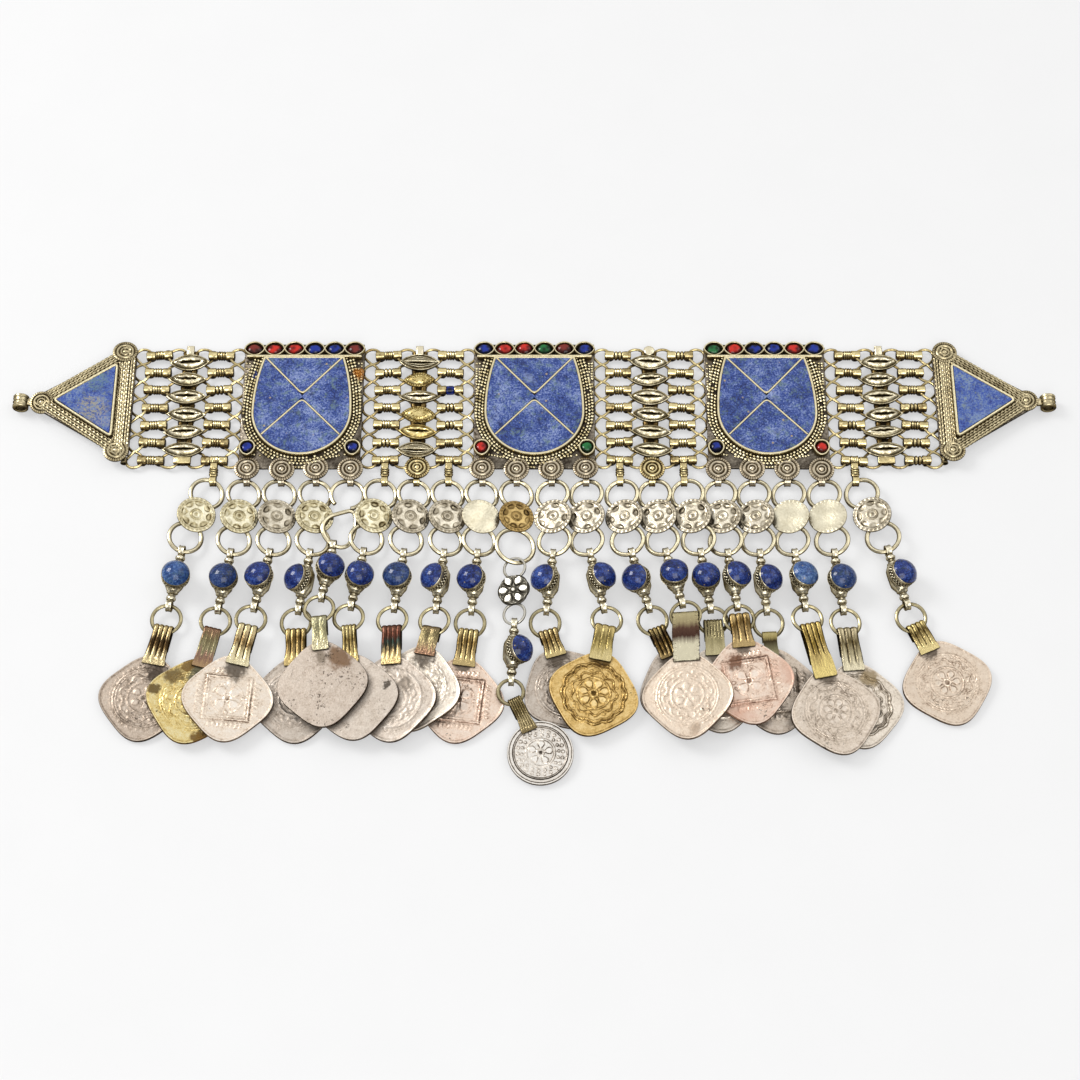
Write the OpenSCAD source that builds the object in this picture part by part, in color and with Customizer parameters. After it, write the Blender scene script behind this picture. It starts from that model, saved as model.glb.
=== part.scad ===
// Coin necklace of laced panels, lapis plaques and twenty coin drops.
// It lies flat: X runs along the band, Y across it towards the top edge, Z up from the surface.
// The origin is under the middle of the whole piece, on the surface.

/* [Band] */
// Length between the outer ends of the two end tubes
total_len = 315; // [310:1:320]
// Middle line of the band, measured from the origin
band_y = 49.8; // [49:0.1:51]
// Distance between the middles of neighbouring plaques
plaque_pitch = 70; // [69.6:0.1:70.4]
// Distance between neighbouring rows of lacing
row_pitch = 6.1; // [6:0.05:6.2]

/* [Plaques] */
// Width of a plaque's plate
plaque_w = 36.4; // [35.6:0.1:37]
// Lower edge of a plaque's plate
plaque_low = 28; // [27.5:0.1:28.5]
// Largest half width of the stone shield
shield_r = 14.4; // [14:0.1:14.8]
// Height of the shield's middle, where it is widest
shield_y = 47; // [46.5:0.1:47.5]
// Upper edge of the shield
shield_top = 65.7; // [65:0.1:66]
// Thickness of every back plate
plate_t = 0.8; // [0.6:0.1:0.8]
// Height of the strip that holds a flat stone, above the plate
bezel_h = 1.6; // [1.2:0.1:1.8]

/* [End pieces] */
// Distance from the band's middle line to a corner boss
end_half_h = 17; // [16.5:0.1:17.5]
// Outer radius of the tube loop at a tip
end_tube_r = 2.4; // [2.2:0.1:2.4]
// Radius of the hole in the tube loop
end_bore_r = 1.5; // [1.3:0.1:1.6]
// Length of the tube loop
end_tube_len = 4; // [3.5:0.1:4.5]

/* [Lacing] */
// Outer radius of a lacing tube
tube_r = 1.3; // [1.2:0.05:1.35]
// Radius of the hole in a lacing tube
tube_bore = 0.8; // [0.75:0.05:0.85]
// Width of the lacing wire
lace_wire = 0.6; // [0.5:0.05:0.6]
// Radius of one lacing loop, to the middle of its wire
lace_r = 2.9; // [2.85:0.05:2.95]
// Distance from a panel's middle to the middle of a barrel
barrel_x = 9.5; // [9.4:0.05:9.6]

/* [Drops] */
// Radius of a disc link's rings, to the middle of the wire
link_ring_r = 4.7; // [4.6:0.05:4.8]
// Radius of the wire of a disc link's rings
link_wire = 0.5; // [0.4:0.05:0.5]
// Distance from the middle of a disc to the middle of each ring
link_step = 7.9; // [7.8:0.05:8]
// Radius of a stamped disc
disc_r = 5.4; // [5.2:0.05:5.4]
// Distance between the two eyes of a bead
bead_len = 17.6; // [17.4:0.1:17.8]
// Radius of a bead's round stone
cab_r = 3.7; // [3.5:0.05:3.75]
// Radius of a coin's ring, to the middle of the wire
coin_ring_r = 4.2; // [4.1:0.05:4.3]
// Radius of the wire of a coin's ring
coin_wire = 0.45; // [0.4:0.05:0.45]

/* [Coins] */
// Size of a square coin from corner to corner
coin_diag = 26; // [25.4:0.1:26]
// Thickness of a coin with its relief
coin_t = 1.4; // [1.2:0.05:1.4]
// Height of the relief
relief = 0.15; // [0.1:0.01:0.2]
// Radius of the one round coin
round_r = 9.7; // [9.5:0.05:9.8]

/* [Hidden] */
$fn = 48;

// Colours
silver = [0.66, 0.61, 0.48];
brass = [0.72, 0.58, 0.28];
lapis = [0.12, 0.22, 0.55];
nickel = [0.68, 0.64, 0.59];

// Heights: the lacing lies on the surface, and the plates stand on its tubes
lace_z = tube_r;
plate_z = 2 * tube_r - 0.2;
plate_top = plate_z + plate_t;
stone_gap = 0.08;
rows = 7;

// Across a plaque and a panel
panel_x = plaque_pitch / 2;
edge_tube_x = plaque_pitch / 4;
barrel_tube_x = 2.5;
barrel_tube_len = 2.6;
centre_tube_x = 1.35;
centre_tube_r = 1.15;
lace_out_x = (barrel_x + barrel_tube_x + edge_tube_x) / 2;
lace_in_x = (barrel_x - barrel_tube_x + centre_tube_x) / 2;
end_edge_x = 2 * plaque_pitch - edge_tube_x - 1.4;

// Hangers along the lower edge
boss_y = 27.8;
boss_r = 3.8;
boss_out_x = 15.4;
boss_in_x = 5.2;
hanger_y = 24.4;
hanger_z = 1.6;
hanger_r = 1.6;
hanger_bore = 1.2;
hanger_len = 1.8;

// Stones along a plaque's upper edge
top_stone_y = 69;
top_stone_pitch = 6.1;
top_stone = [2.5, 1.95];
low_stone = [15.7, 34.8];
low_stone_r = 1.9;

// Where a link, a bead and a coin turn
link_roll = 14;
link_pitch = -3.7;
eye_r = 1.45;
eye_wire = 0.35;
eye_z = 3.2;

// The strap of a coin: a folded strip with room for the ring
strap_t = 0.45;
strap_slot = 0.85;
strap_grip = 3.4;
strap_z = 0.6 - strap_slot;

// One row for each drop. The leans turn a link, a bead and a coin towards +X, in degrees.
// cab_roll turns the round stone to the right, and low_eye is the height of the bead's lower eye.
// reach runs from the coin's ring to its middle, coin_z is the height of the coin's middle,
// pitch raises its upper side, roll lowers its right side, and turn turns it in its own plane.
// strap_w is the strap's width, strap_up is how far it passes the ring, and kind is the relief.
HANG_X = 0; LINK_LEAN = 1; BEAD_LEAN = 2; CAB_ROLL = 3; LOW_EYE = 4; COIN_LEAN = 5; REACH = 6;
COIN_Z = 7; PITCH = 8; ROLL = 9; TURN = 10; STRAP_W = 11; STRAP_UP = 12; KIND = 13;
p1 = -plaque_pitch;
p3 = plaque_pitch;
b = barrel_x;
DROPS = [
    // hang_x, link, bead, cab_roll, low_eye, coin, reach, coin_z, pitch, roll, turn, strap_w, strap_up, kind
    [-3 * panel_x + b, -19, -8, 8, 2.7, -11, 20.6, 1.35, 2.4, 0, 4, 5.6, 0, "rings"],
    [p1 - boss_out_x, -7, -8, 0, 3, -12, 21.2, 3.1, 2.4, 7.5, 0, 5, 0, "rings"],
    [p1 - boss_in_x, -3, -11, -16, 4, -12, 21, 4.1, 2.4, 4.5, 8, 5.6, 0, "frame"],
    [p1 + boss_in_x, 0, -8, -42, 2.7, 2, 19.6, 1.35, 2.4, 0, 0, 5.8, 0, "rings"],
    [p1 + boss_out_x, -8, -8, 20, 5.4, 5, 19.4, 5.75, 2.4, -5, 0, 4.2, 0, "blank"],
    [-panel_x - b, -13, -9, 16, 4.3, 5, 20.6, 4.45, 2.4, -5, 0, 4, 0, "blank"],
    [-panel_x, -7, -7, -10, 4, 1, 20.2, 3.72, 2.4, -7.5, 0, 5.6, 0, "rings"],
    [-panel_x + b, -1, -6, -38, 3.8, -13, 17.2, 3.1, 2.4, -7.5, 0, 5.4, 0, "rings"],
    [-boss_out_x, -2, -5, -20, 2.7, -7, 19.6, 1.35, 2.4, 0, 0, 5.8, 0, "frame"],
    [-boss_in_x, -1, -2.5, 44, 3.4, 25, 16.3, 1.65, 4.6, 0, 0, 3.8, 0, "round"],
    [boss_in_x, 2, -6, -35, 2.7, 17, 17, 1.35, 2.4, 0, 14, 5.4, 0, "rings"],
    [boss_out_x, 0, 12, 34, 3.3, -10, 19.2, 3.5, 2.4, 5, -6, 5.8, 0, "scallop"],
    [panel_x - b, 5, 15, -30, 2.7, 22, 18.4, 1.35, 2.4, 0, 0, 5, 0, "rings"],
    [panel_x, 7, 13, 0, 5.8, 0, 20.6, 5.5, 2.4, -9.5, 0, 6.8, 1.8, "rings"],
    [panel_x + b, 10, 7, 0, 3.2, 3, 17.2, 2.9, 2.4, 0, 0, 5.6, 2, "rings"],
    [p3 - boss_out_x, 4, 6, 27, 5.1, 6, 15.4, 4.9, 2.4, 0, 3, 5.8, 3.2, "frame"],
    [p3 - boss_in_x, 2, 4, 31, 2.7, 3, 16.6, 1.35, 2.4, 0, 0, 4, 0, "frame"],
    [p3 + boss_in_x, 1, 6, 20, 5, 13, 25, 4.4, 2.4, 5, 0, 5.8, 0, "rings"],
    [p3 + boss_out_x, 5, 5, 14, 2.7, 5.5, 21.4, 1.95, 2.4, 5, 0, 5.8, 0, "scallop"],
    [3 * panel_x - b, 19, 14, 28, 2.7, 24, 17.8, 1.35, 2.4, 0, -10, 5.6, 0, "rings"]
];
OPEN_RING = 4;
LONG_DROP = 9;

// Turns a vector by the roll, then the pitch, then the lean
function turn_y(v, a) = [v[0] * cos(a) + v[2] * sin(a), v[1], v[2] * cos(a) - v[0] * sin(a)];
function turn_x(v, a) = [v[0], v[1] * cos(a) - v[2] * sin(a), v[1] * sin(a) + v[2] * cos(a)];
function turn_z(v, a) = [v[0] * cos(a) - v[1] * sin(a), v[0] * sin(a) + v[1] * cos(a), v[2]];
function turned(v, lean, pitch, roll) = turn_z(turn_x(turn_y(v, roll), pitch), lean);
function tilted(v, lean, pitch, roll) = turn_x(turn_y(turn_z(v, lean), roll), pitch);

// Where the parts of drop i start and end
function top_of(i) = [DROPS[i][HANG_X], hanger_y, hanger_z];
function roll_of(i) = i <= LONG_DROP ? link_roll : -link_roll;
function on_ring(r, a) = [r * sin(a), -r * cos(a), 0];

// The open ring of the fifth drop and the bent ring that hangs in it
open_r = 4.9;
open_roll = 4;
open_pitch = -6;
bent_r = 4;
bent_len = 7.4;
bent_roll = 28;
bent_lean = -12;
bent_pitch = -4;
bent_top = [DROPS[OPEN_RING][HANG_X] - 0.9, hanger_y - 2 * open_r + 2.45, 2.45];
function bent_low() =
    bent_top + turned([0, -2 * bent_r - bent_len, 0], bent_lean, bent_pitch, bent_roll);

// The two links of the tenth drop
long_disc_r = 5;
long_ring_r = 5.6;
long_step = 9.7;
silver_ring_r = 3.2;
silver_wire = 0.4;
silver_step = 7.3;
silver_disc_r = 4.9;
silver_roll = -18;
silver_pitch = 0.5;
function long_low() = top_of(LONG_DROP) + turned([0, -link_ring_r - link_step - long_step - long_ring_r, 0],
    DROPS[LONG_DROP][LINK_LEAN], link_pitch, link_roll);
silver_top = long_low() + [0, link_wire + silver_wire + 0.5, 0];
function silver_low() = silver_top
    + turned([0, -2 * silver_ring_r - 2 * silver_step, 0], 0, silver_pitch, silver_roll);

function bead_top(i) = i == OPEN_RING ? bent_low() : i == LONG_DROP ? silver_low() :
    top_of(i) + turned([0, -link_ring_r - 2 * link_step, 0]
        + on_ring(link_ring_r, DROPS[i][BEAD_LEAN] - DROPS[i][LINK_LEAN]),
        DROPS[i][LINK_LEAN], link_pitch, roll_of(i));
function bead_pitch(i) = asin((bead_top(i)[2] - DROPS[i][LOW_EYE]) / bead_len);
function bead_low(i) = bead_top(i)
    + turned([0, -bead_len, 0], DROPS[i][BEAD_LEAN], bead_pitch(i), 0);
function strap_height(i) = DROPS[i][COIN_Z] - tilted([0, -DROPS[i][REACH], -strap_z],
    DROPS[i][COIN_LEAN], DROPS[i][PITCH], DROPS[i][ROLL])[2];
function ring_r(i) = i == LONG_DROP ? 3.6 : coin_ring_r;
function ring_pitch(i) = asin((bead_low(i)[2] - strap_height(i)) / (2 * ring_r(i)));
function ring_mid(i) = bead_low(i)
    + turned([0, -ring_r(i), 0], DROPS[i][BEAD_LEAN], ring_pitch(i), 0);
function ring_low(i) = ring_mid(i)
    + turned(on_ring(ring_r(i), DROPS[i][COIN_LEAN] - DROPS[i][BEAD_LEAN]),
        DROPS[i][BEAD_LEAN], ring_pitch(i), DROPS[i][ROLL]);
// Where the fold of a strap starts, so that a ring clears the strap's corners
function strap_top(i) = DROPS[i][STRAP_UP] + 0.25 - strap_slot
    + ring_r(i) - sqrt(pow(ring_r(i) - coin_wire, 2) - pow(DROPS[i][STRAP_W] / 2, 2));

module placed(at, lean, pitch, roll) {
    translate(at) rotate([0, 0, lean]) rotate([pitch, 0, 0]) rotate([0, roll, 0]) children();
}

function row_y(k) = band_y + (3 - k) * row_pitch;

// A tube whose hole runs along Y
module tube_y(r, bore, len) {
    rotate([90, 0, 0]) difference() {
        cylinder(r = r, h = len, center = true);
        cylinder(r = bore, h = len + 1, center = true);
    }
}

// A tube whose hole runs along X
module tube_x(r, bore, len) {
    rotate([0, 90, 0]) difference() {
        cylinder(r = r, h = len, center = true);
        cylinder(r = bore, h = len + 1, center = true);
    }
}

module ring(r, wire) {
    rotate_extrude() translate([r, 0]) circle(r = wire, $fn = 24);
}

// A round boss stamped with rings
module boss(r) {
    translate([0, 0, plate_top - 0.3]) {
        cylinder(r = r, h = 0.8);
        difference() {
            cylinder(r = r * 0.68, h = 1.15);
            translate([0, 0, 0.6]) cylinder(r = r * 0.5, h = 1);
        }
        cylinder(r = r * 0.24, h = 1.35);
    }
}

// A boss on the lower edge with the loop that holds a drop
module hanger() {
    translate([0, boss_y, 0]) boss(boss_r);
    translate([0, hanger_y, hanger_z]) tube_x(hanger_r, hanger_bore, hanger_len);
    translate([-1, hanger_y + hanger_bore + 0.1, hanger_z]) cube([2, 2, plate_top - hanger_z]);
}

// A column of short tubes under an edge, one for each row of lacing
module edge_tubes() {
    for (k = [0 : rows - 1]) translate([0, row_y(k), lace_z]) tube_y(tube_r, tube_bore, barrel_tube_len);
}

// The outline of the stone shield, grown by g
side_r = 65;
side_a = asin((shield_top - shield_y) / side_r);
top_half_w = shield_r - side_r + side_r * cos(side_a);
function shield(g) = concat(
    [for (a = [180 : 7.5 : 360]) [(shield_r + g) * cos(a), shield_y + (shield_r + g) * sin(a)]],
    [for (k = [1 : 3]) [shield_r - side_r + (side_r + g) * cos(k * side_a / 4),
        shield_y + (side_r + g) * sin(k * side_a / 4)]],
    [[top_half_w + g, shield_top + g], [-top_half_w - g, shield_top + g]],
    [for (k = [3 : -1 : 1]) [side_r - shield_r - (side_r + g) * cos(k * side_a / 4),
        shield_y + (side_r + g) * sin(k * side_a / 4)]]);

// The two bent wires that part the shield, w wide
vee_tip = [52.8, 51.2];
vee_half_w = 13;
vee_up_end = 67.2;
vee_low_end = 37.5;
module vees(w) {
    for (v = [[vee_tip[0], vee_up_end], [vee_tip[1], vee_low_end]]) {
        s = sign(v[1] - v[0]);
        rise = w / 2 * norm([vee_half_w, v[1] - v[0]]) / vee_half_w;
        polygon([[0, v[0] - s * rise], [vee_half_w, v[1] - s * rise], [vee_half_w, v[1] + s * rise],
            [0, v[0] + s * rise], [-vee_half_w, v[1] + s * rise], [-vee_half_w, v[1] - s * rise]]);
    }
}

function oval(rx, ry, n) = [for (k = [0 : n - 1]) [rx * cos(k * 360 / n), ry * sin(k * 360 / n)]];

module stone_bezel(rx, ry) {
    translate([0, 0, plate_top - 0.1]) linear_extrude(bezel_h - 0.2) difference() {
        polygon(oval(rx + 0.5, ry + 0.45, 24));
        polygon(oval(rx + stone_gap, ry + stone_gap, 24));
    }
}

module plaque() {
    half = plaque_w / 2;
    translate([-half, plaque_low, plate_z]) cube([plaque_w, shield_top + 1 - plaque_low, plate_t]);
    translate([-half - 0.1, shield_top, plate_z]) cube([plaque_w + 0.2, 71.3 - shield_top, plate_t]);
    translate([0, 0, plate_top - 0.1]) linear_extrude(bezel_h) difference() {
        polygon(shield(0.55));
        polygon(shield(0));
    }
    translate([0, 0, plate_top - 0.1]) linear_extrude(bezel_h) intersection() {
        polygon(shield(0.2));
        vees(0.6);
    }
    translate([-half, shield_top + 0.2, plate_top - 0.1]) cube([plaque_w, 0.8, bezel_h - 0.1]);
    // Ridges that carry the rows of grains
    translate([0, 0, plate_top - 0.1]) linear_extrude(0.5) for (g = [1, 2]) difference() {
        intersection() {
            polygon(shield(g + 0.7));
            translate([-half, plaque_low]) square([plaque_w, shield_top + 0.4 - plaque_low]);
        }
        polygon(shield(g));
    }
    for (k = [0 : 5]) translate([(k - 2.5) * top_stone_pitch, top_stone_y, 0])
        stone_bezel(top_stone[0], top_stone[1]);
    for (s = [-1, 1]) {
        translate([s * low_stone[0], low_stone[1], 0]) stone_bezel(low_stone_r, low_stone_r);
        translate([s * edge_tube_x, 0, 0]) edge_tubes();
        for (x = [boss_out_x, boss_in_x]) translate([s * x, 0, 0]) hanger();
    }
}

module inlay() {
    translate([0, 0, plate_top + stone_gap]) linear_extrude(bezel_h - 0.25) difference() {
        polygon(shield(-stone_gap));
        vees(0.6 + 2 * stone_gap);
    }
}

// A cut stone with a girdle, a crown of twelve facets and a table
module cut_stone(rx, ry) {
    translate([0, 0, plate_top + stone_gap]) hull() {
        linear_extrude(0.9) polygon(oval(rx, ry, 12));
        linear_extrude(1.5) polygon(oval(rx * 0.55, ry * 0.55, 12));
    }
}

// The stones of each plaque: six along the top, then the lower left and lower right
STONES = [
    ["garnet", "red", "red", "blue", "blue", "garnet", "blue", "blue"],
    ["blue", "red", "red", "green", "garnet", "blue", "red", "green"],
    ["green", "red", "blue", "blue", "red", "blue", "blue", "red"]
];
module glass(tint) {
    for (p = [0 : 2], k = [0 : 7]) if (STONES[p][k] == tint) translate([(p - 1) * plaque_pitch, 0, 0])
        if (k < 6) translate([(k - 2.5) * top_stone_pitch, top_stone_y, 0])
            cut_stone(top_stone[0], top_stone[1]);
        else translate([(k == 6 ? -1 : 1) * low_stone[0], low_stone[1], 0])
            cut_stone(low_stone_r, low_stone_r);
}

// The end pieces, drawn for the right end with the tip towards +X
end_y = band_y + 1.2;
tip_boss_x = total_len / 2 - 8.9;
side_boss_x = end_edge_x + 3.9;
tube_x_at = total_len / 2 - end_tube_r;
lapis_corner = [[end_edge_x + 5.9, 12], [end_edge_x + 23.2, 0], [end_edge_x + 5.9, -12]];
function grown(pts, g) = let (c = [for (i = [0 : 2]) pts[i]], m = (c[0] + c[1] + c[2]) / 3)
    [for (p = c) m + (p - m) * (1 + g / 6.6)];

module end_plate() {
    translate([0, end_y, 0]) {
        translate([0, 0, plate_z]) linear_extrude(plate_t) polygon([
            [end_edge_x, end_half_h - 1], [end_edge_x + 4, end_half_h + 1],
            [tip_boss_x + 2, 2], [tip_boss_x + 2, -2], [end_edge_x + 4, -end_half_h - 1],
            [end_edge_x, -end_half_h + 1]]);
        translate([0, 0, plate_top - 0.1]) linear_extrude(bezel_h) difference() {
            polygon(grown(lapis_corner, 0.55));
            polygon(grown(lapis_corner, 0));
        }
        translate([0, 0, plate_top - 0.1]) linear_extrude(0.6) for (g = [1, 2]) difference() {
            polygon(grown(lapis_corner, g + 0.65));
            polygon(grown(lapis_corner, g));
        }
        translate([tip_boss_x, 0, 0]) boss(3.6);
        for (s = [-1, 1]) translate([side_boss_x, s * end_half_h, 0]) boss(boss_r);
        translate([tube_x_at, 0, end_tube_r]) tube_y(end_tube_r, end_bore_r, end_tube_len);
        for (s = [-1, 1]) translate([tube_x_at, s * 1.2, end_tube_r]) tube_y(end_tube_r + 0.01, end_bore_r, 0.9);
        translate([tip_boss_x + 1.5, -1.2, plate_z])
            cube([tube_x_at - end_bore_r - tip_boss_x - 1.8, 2.4, plate_t]);
    }
    translate([end_edge_x + 1.4, 0, 0]) edge_tubes();
    translate([end_edge_x + 0.2, row_y(rows - 1) - 1, plate_z])
        cube([2.4, (rows - 1) * row_pitch + 2, plate_t]);
}

module end_lapis() {
    translate([0, end_y, plate_top + stone_gap]) linear_extrude(bezel_h - 0.25)
        polygon(grown(lapis_corner, -0.15));
}

// A lacing barrel: two tubes for the wires and a wrapped waist
module barrel() {
    for (s = [-1, 1]) translate([s * barrel_tube_x, 0, 0]) tube_y(tube_r, tube_bore, barrel_tube_len);
    rotate([0, 90, 0]) cylinder(r = 0.95, h = 3.2, center = true);
    for (k = [-1 : 1]) translate([k * 0.75, 0, 0]) rotate([0, 90, 0])
        cylinder(r = 1.2, h = 0.5, center = true);
}

// A folded strip over a barrel's waist, with the loop that holds a drop
module strip_hanger() {
    low = row_y(rows - 1);
    translate([0, low, lace_z]) rotate([0, 90, 0]) cylinder(r = 1.28, h = 2.3, center = true);
    translate([-1.1, hanger_y + hanger_bore + 0.1, hanger_z - 0.5])
        cube([2.2, low - hanger_y - hanger_bore - 0.6, 1.2]);
    for (k = [0 : 2]) translate([0, hanger_y + 2.6 + k, hanger_z]) rotate([90, 0, 0])
        cylinder(r = 1.35, h = 0.5, center = true);
    translate([0, hanger_y, hanger_z]) tube_x(hanger_r, hanger_bore, hanger_len);
}

// The sides of a panel's barrel columns that carry a strip hanger
HANGERS = [[1], [-1, 1], [-1, 1], [-1]];
function panel_mid(p) = (2 * p - 3) * panel_x;

module barrels(p) {
    for (s = [-1, 1], k = [0 : rows - 1])
        translate([panel_mid(p) + s * barrel_x, row_y(k), lace_z]) barrel();
    for (s = HANGERS[p]) translate([panel_mid(p) + s * barrel_x, 0, 0]) strip_hanger();
}

// The pointed outline of a leaf ornament
module leaf(len, w) {
    r = (len * len + w * w) / (4 * w);
    intersection() {
        translate([0, r - w / 2]) circle(r = r, $fn = 96);
        translate([0, w / 2 - r]) circle(r = r, $fn = 96);
    }
}

// The middle column of a panel: pairs of tubes, six leaf ornaments and a clip or boss below
module centre(p) {
    translate([panel_mid(p), 0, 0]) {
        for (k = [0 : rows - 1]) translate([0, row_y(k), lace_z]) {
            for (s = [-1, 1]) translate([s * centre_tube_x, 0, 0])
                tube_y(centre_tube_r, tube_bore, barrel_tube_len);
            cube([0.9, barrel_tube_len - 0.2, 1.4], center = true);
        }
        translate([-1.2, row_y(rows - 1) - 1.4, lace_z + 0.9])
            cube([2.4, (rows - 1) * row_pitch + 3.6, 0.5]);
        for (k = [0 : rows - 2]) translate([0, row_y(k) - row_pitch / 2, lace_z + 1]) {
            linear_extrude(0.8) leaf(10.4, 4.2);
            linear_extrude(1.2) leaf(7.6, 2.6);
            linear_extrude(1.5) leaf(5, 1.1);
        }
        if (p == 1 || p == 2) hanger();
        else translate([-1.5, row_y(rows - 1) - 1.7, lace_z + 0.9]) cube([3, 2.4, 0.9]);
        if (p == 1 || p == 2) translate([-1, boss_y, lace_z + 1]) cube([2, 4, 0.6]);
    }
}

// One column of lacing loops, each joined to the next where the wires cross
module lace_column() {
    linear_extrude(lace_wire, center = true) for (k = [0 : rows - 1]) translate([0, row_y(k)])
        difference() {
            circle(r = lace_r + lace_wire / 2);
            circle(r = lace_r - lace_wire / 2);
        }
}

module lacing(p) {
    for (x = [-lace_out_x, -lace_in_x, lace_in_x, lace_out_x])
        translate([panel_mid(p) + x, 0, lace_z]) lace_column();
}

// A stamped disc between two rings
module disc_link(r_up, r_low, step_low, r_disc) {
    translate([0, -r_up, 0]) ring(r_up, link_wire);
    translate([0, -r_up - link_step, 0.4]) {
        cylinder(r = r_disc, h = 0.6);
        difference() {
            cylinder(r = r_disc, h = 0.85);
            translate([0, 0, 0.5]) cylinder(r = r_disc - 0.55, h = 1);
        }
        linear_extrude(0.8) polygon([for (k = [0 : 15])
            (k % 2 == 0 ? r_disc - 1.3 : 2) * [cos(k * 22.5), sin(k * 22.5)]]);
        cylinder(r = 1.2, h = 0.95);
    }
    translate([0, -r_up - link_step - step_low, 0]) ring(r_low, link_wire);
}

module disc_links(first, last) {
    for (i = [first : last]) placed(top_of(i), DROPS[i][LINK_LEAN],
            i == OPEN_RING ? open_pitch : link_pitch, i == OPEN_RING ? open_roll : roll_of(i))
        if (i == OPEN_RING) open_ring();
        else if (i == LONG_DROP) disc_link(link_ring_r, long_ring_r, long_step, long_disc_r);
        else disc_link(link_ring_r, link_ring_r, link_step, disc_r);
}

// A ring that has sprung open at its lower left
module open_ring() {
    translate([0, -open_r, 0]) rotate([0, 0, 245])
        rotate_extrude(angle = 330) translate([open_r, 0]) circle(r = link_wire, $fn = 24);
}

module bent_ring() {
    placed(bent_top, bent_lean, bent_pitch, bent_roll) translate([0, -bent_r, 0]) {
        rotate_extrude(angle = 180) translate([bent_r, 0]) circle(r = link_wire, $fn = 24);
        translate([0, -bent_len, 0]) rotate([0, 0, 180])
            rotate_extrude(angle = 180) translate([bent_r, 0]) circle(r = link_wire, $fn = 24);
        for (s = [-1, 1]) translate([s * bent_r, 0, 0]) rotate([90, 0, 0])
            cylinder(r = link_wire, h = bent_len, $fn = 24);
    }
}

module silver_link() {
    placed(silver_top, 0, silver_pitch, silver_roll) {
        translate([0, -silver_ring_r, 0]) ring(silver_ring_r, silver_wire);
        translate([0, -silver_ring_r - silver_step, 0.3]) {
            cylinder(r = silver_disc_r, h = 0.6);
            for (k = [0 : 5]) rotate([0, 0, k * 60]) translate([2.7, 0, 0]) cylinder(r = 1.5, h = 0.85);
            cylinder(r = 1, h = 1);
        }
        translate([0, -silver_ring_r - 2 * silver_step, 0]) ring(silver_ring_r, silver_wire);
    }
}

// A bead: a turned spindle with an eye at each end and a cup for a round stone
cup_z = 2.4;
cup_top = 4.1;
module bead(cab_roll) {
    for (s = [0, 1]) translate([0, -s * bead_len, 0]) rotate([0, 90, 0]) ring(eye_r, eye_wire);
    translate([0, -bead_len / 2, 0]) difference() {
        union() {
            rotate([90, 0, 0]) rotate_extrude() polygon(concat(
                [for (p = SPINDLE) [p[0], p[1] - bead_len / 2]],
                [for (k = [len(SPINDLE) - 1 : -1 : 0]) [SPINDLE[k][0], bead_len / 2 - SPINDLE[k][1]]]));
            rotate([0, cab_roll, 0]) translate([0, 0, 0.6]) cylinder(r = cab_r + 0.4, h = cup_top - 0.6);
        }
        rotate([0, cab_roll, 0]) translate([0, 0, cup_z]) cylinder(r = cab_r + stone_gap, h = cup_top);
    }
}

// Half the outline of a spindle: radius, and distance from the eye's middle
SPINDLE = [[0, 1.2], [0.95, 1.2], [0.95, 1.7], [1.4, 1.9], [1.4, 2.7], [0.95, 2.9], [0.95, 3.5],
    [1.7, 4.3], [2.7, 6.2]];

module cab() {
    dome_r = 5.2;
    rise = sqrt(dome_r * dome_r - cab_r * cab_r);
    translate([0, -bead_len / 2, cup_z + stone_gap]) rotate_extrude() intersection() {
        square([cab_r, 6]);
        translate([0, 1.6 - rise]) circle(r = dome_r, $fn = 64);
    }
}

module bead_settings(first, last) {
    for (i = [first : last]) placed(bead_top(i), DROPS[i][BEAD_LEAN], bead_pitch(i), 0)
        bead(DROPS[i][CAB_ROLL]);
}

module cabochons() {
    for (i = [0 : len(DROPS) - 1]) placed(bead_top(i), DROPS[i][BEAD_LEAN], bead_pitch(i), 0)
        rotate([0, DROPS[i][CAB_ROLL], 0]) cab();
}

module coin_rings() {
    for (i = [0 : len(DROPS) - 1])
        placed(ring_mid(i), DROPS[i][BEAD_LEAN], ring_pitch(i), DROPS[i][ROLL])
            ring(ring_r(i), coin_wire);
}

// The outline of a square coin with round corners, its corners on the axes, scaled by s
corner_n = 3.2;
function coin_outline(s) = [for (a = [0 : 7.5 : 352.5])
    let (c = abs(cos(a + 45)), d = abs(sin(a + 45)),
        r = s * coin_diag / 2 * pow(2, 1 / corner_n - 1 / 2)
            / pow(pow(c, corner_n) + pow(d, corner_n), 1 / corner_n))
    r * [cos(a), sin(a)]];

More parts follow.
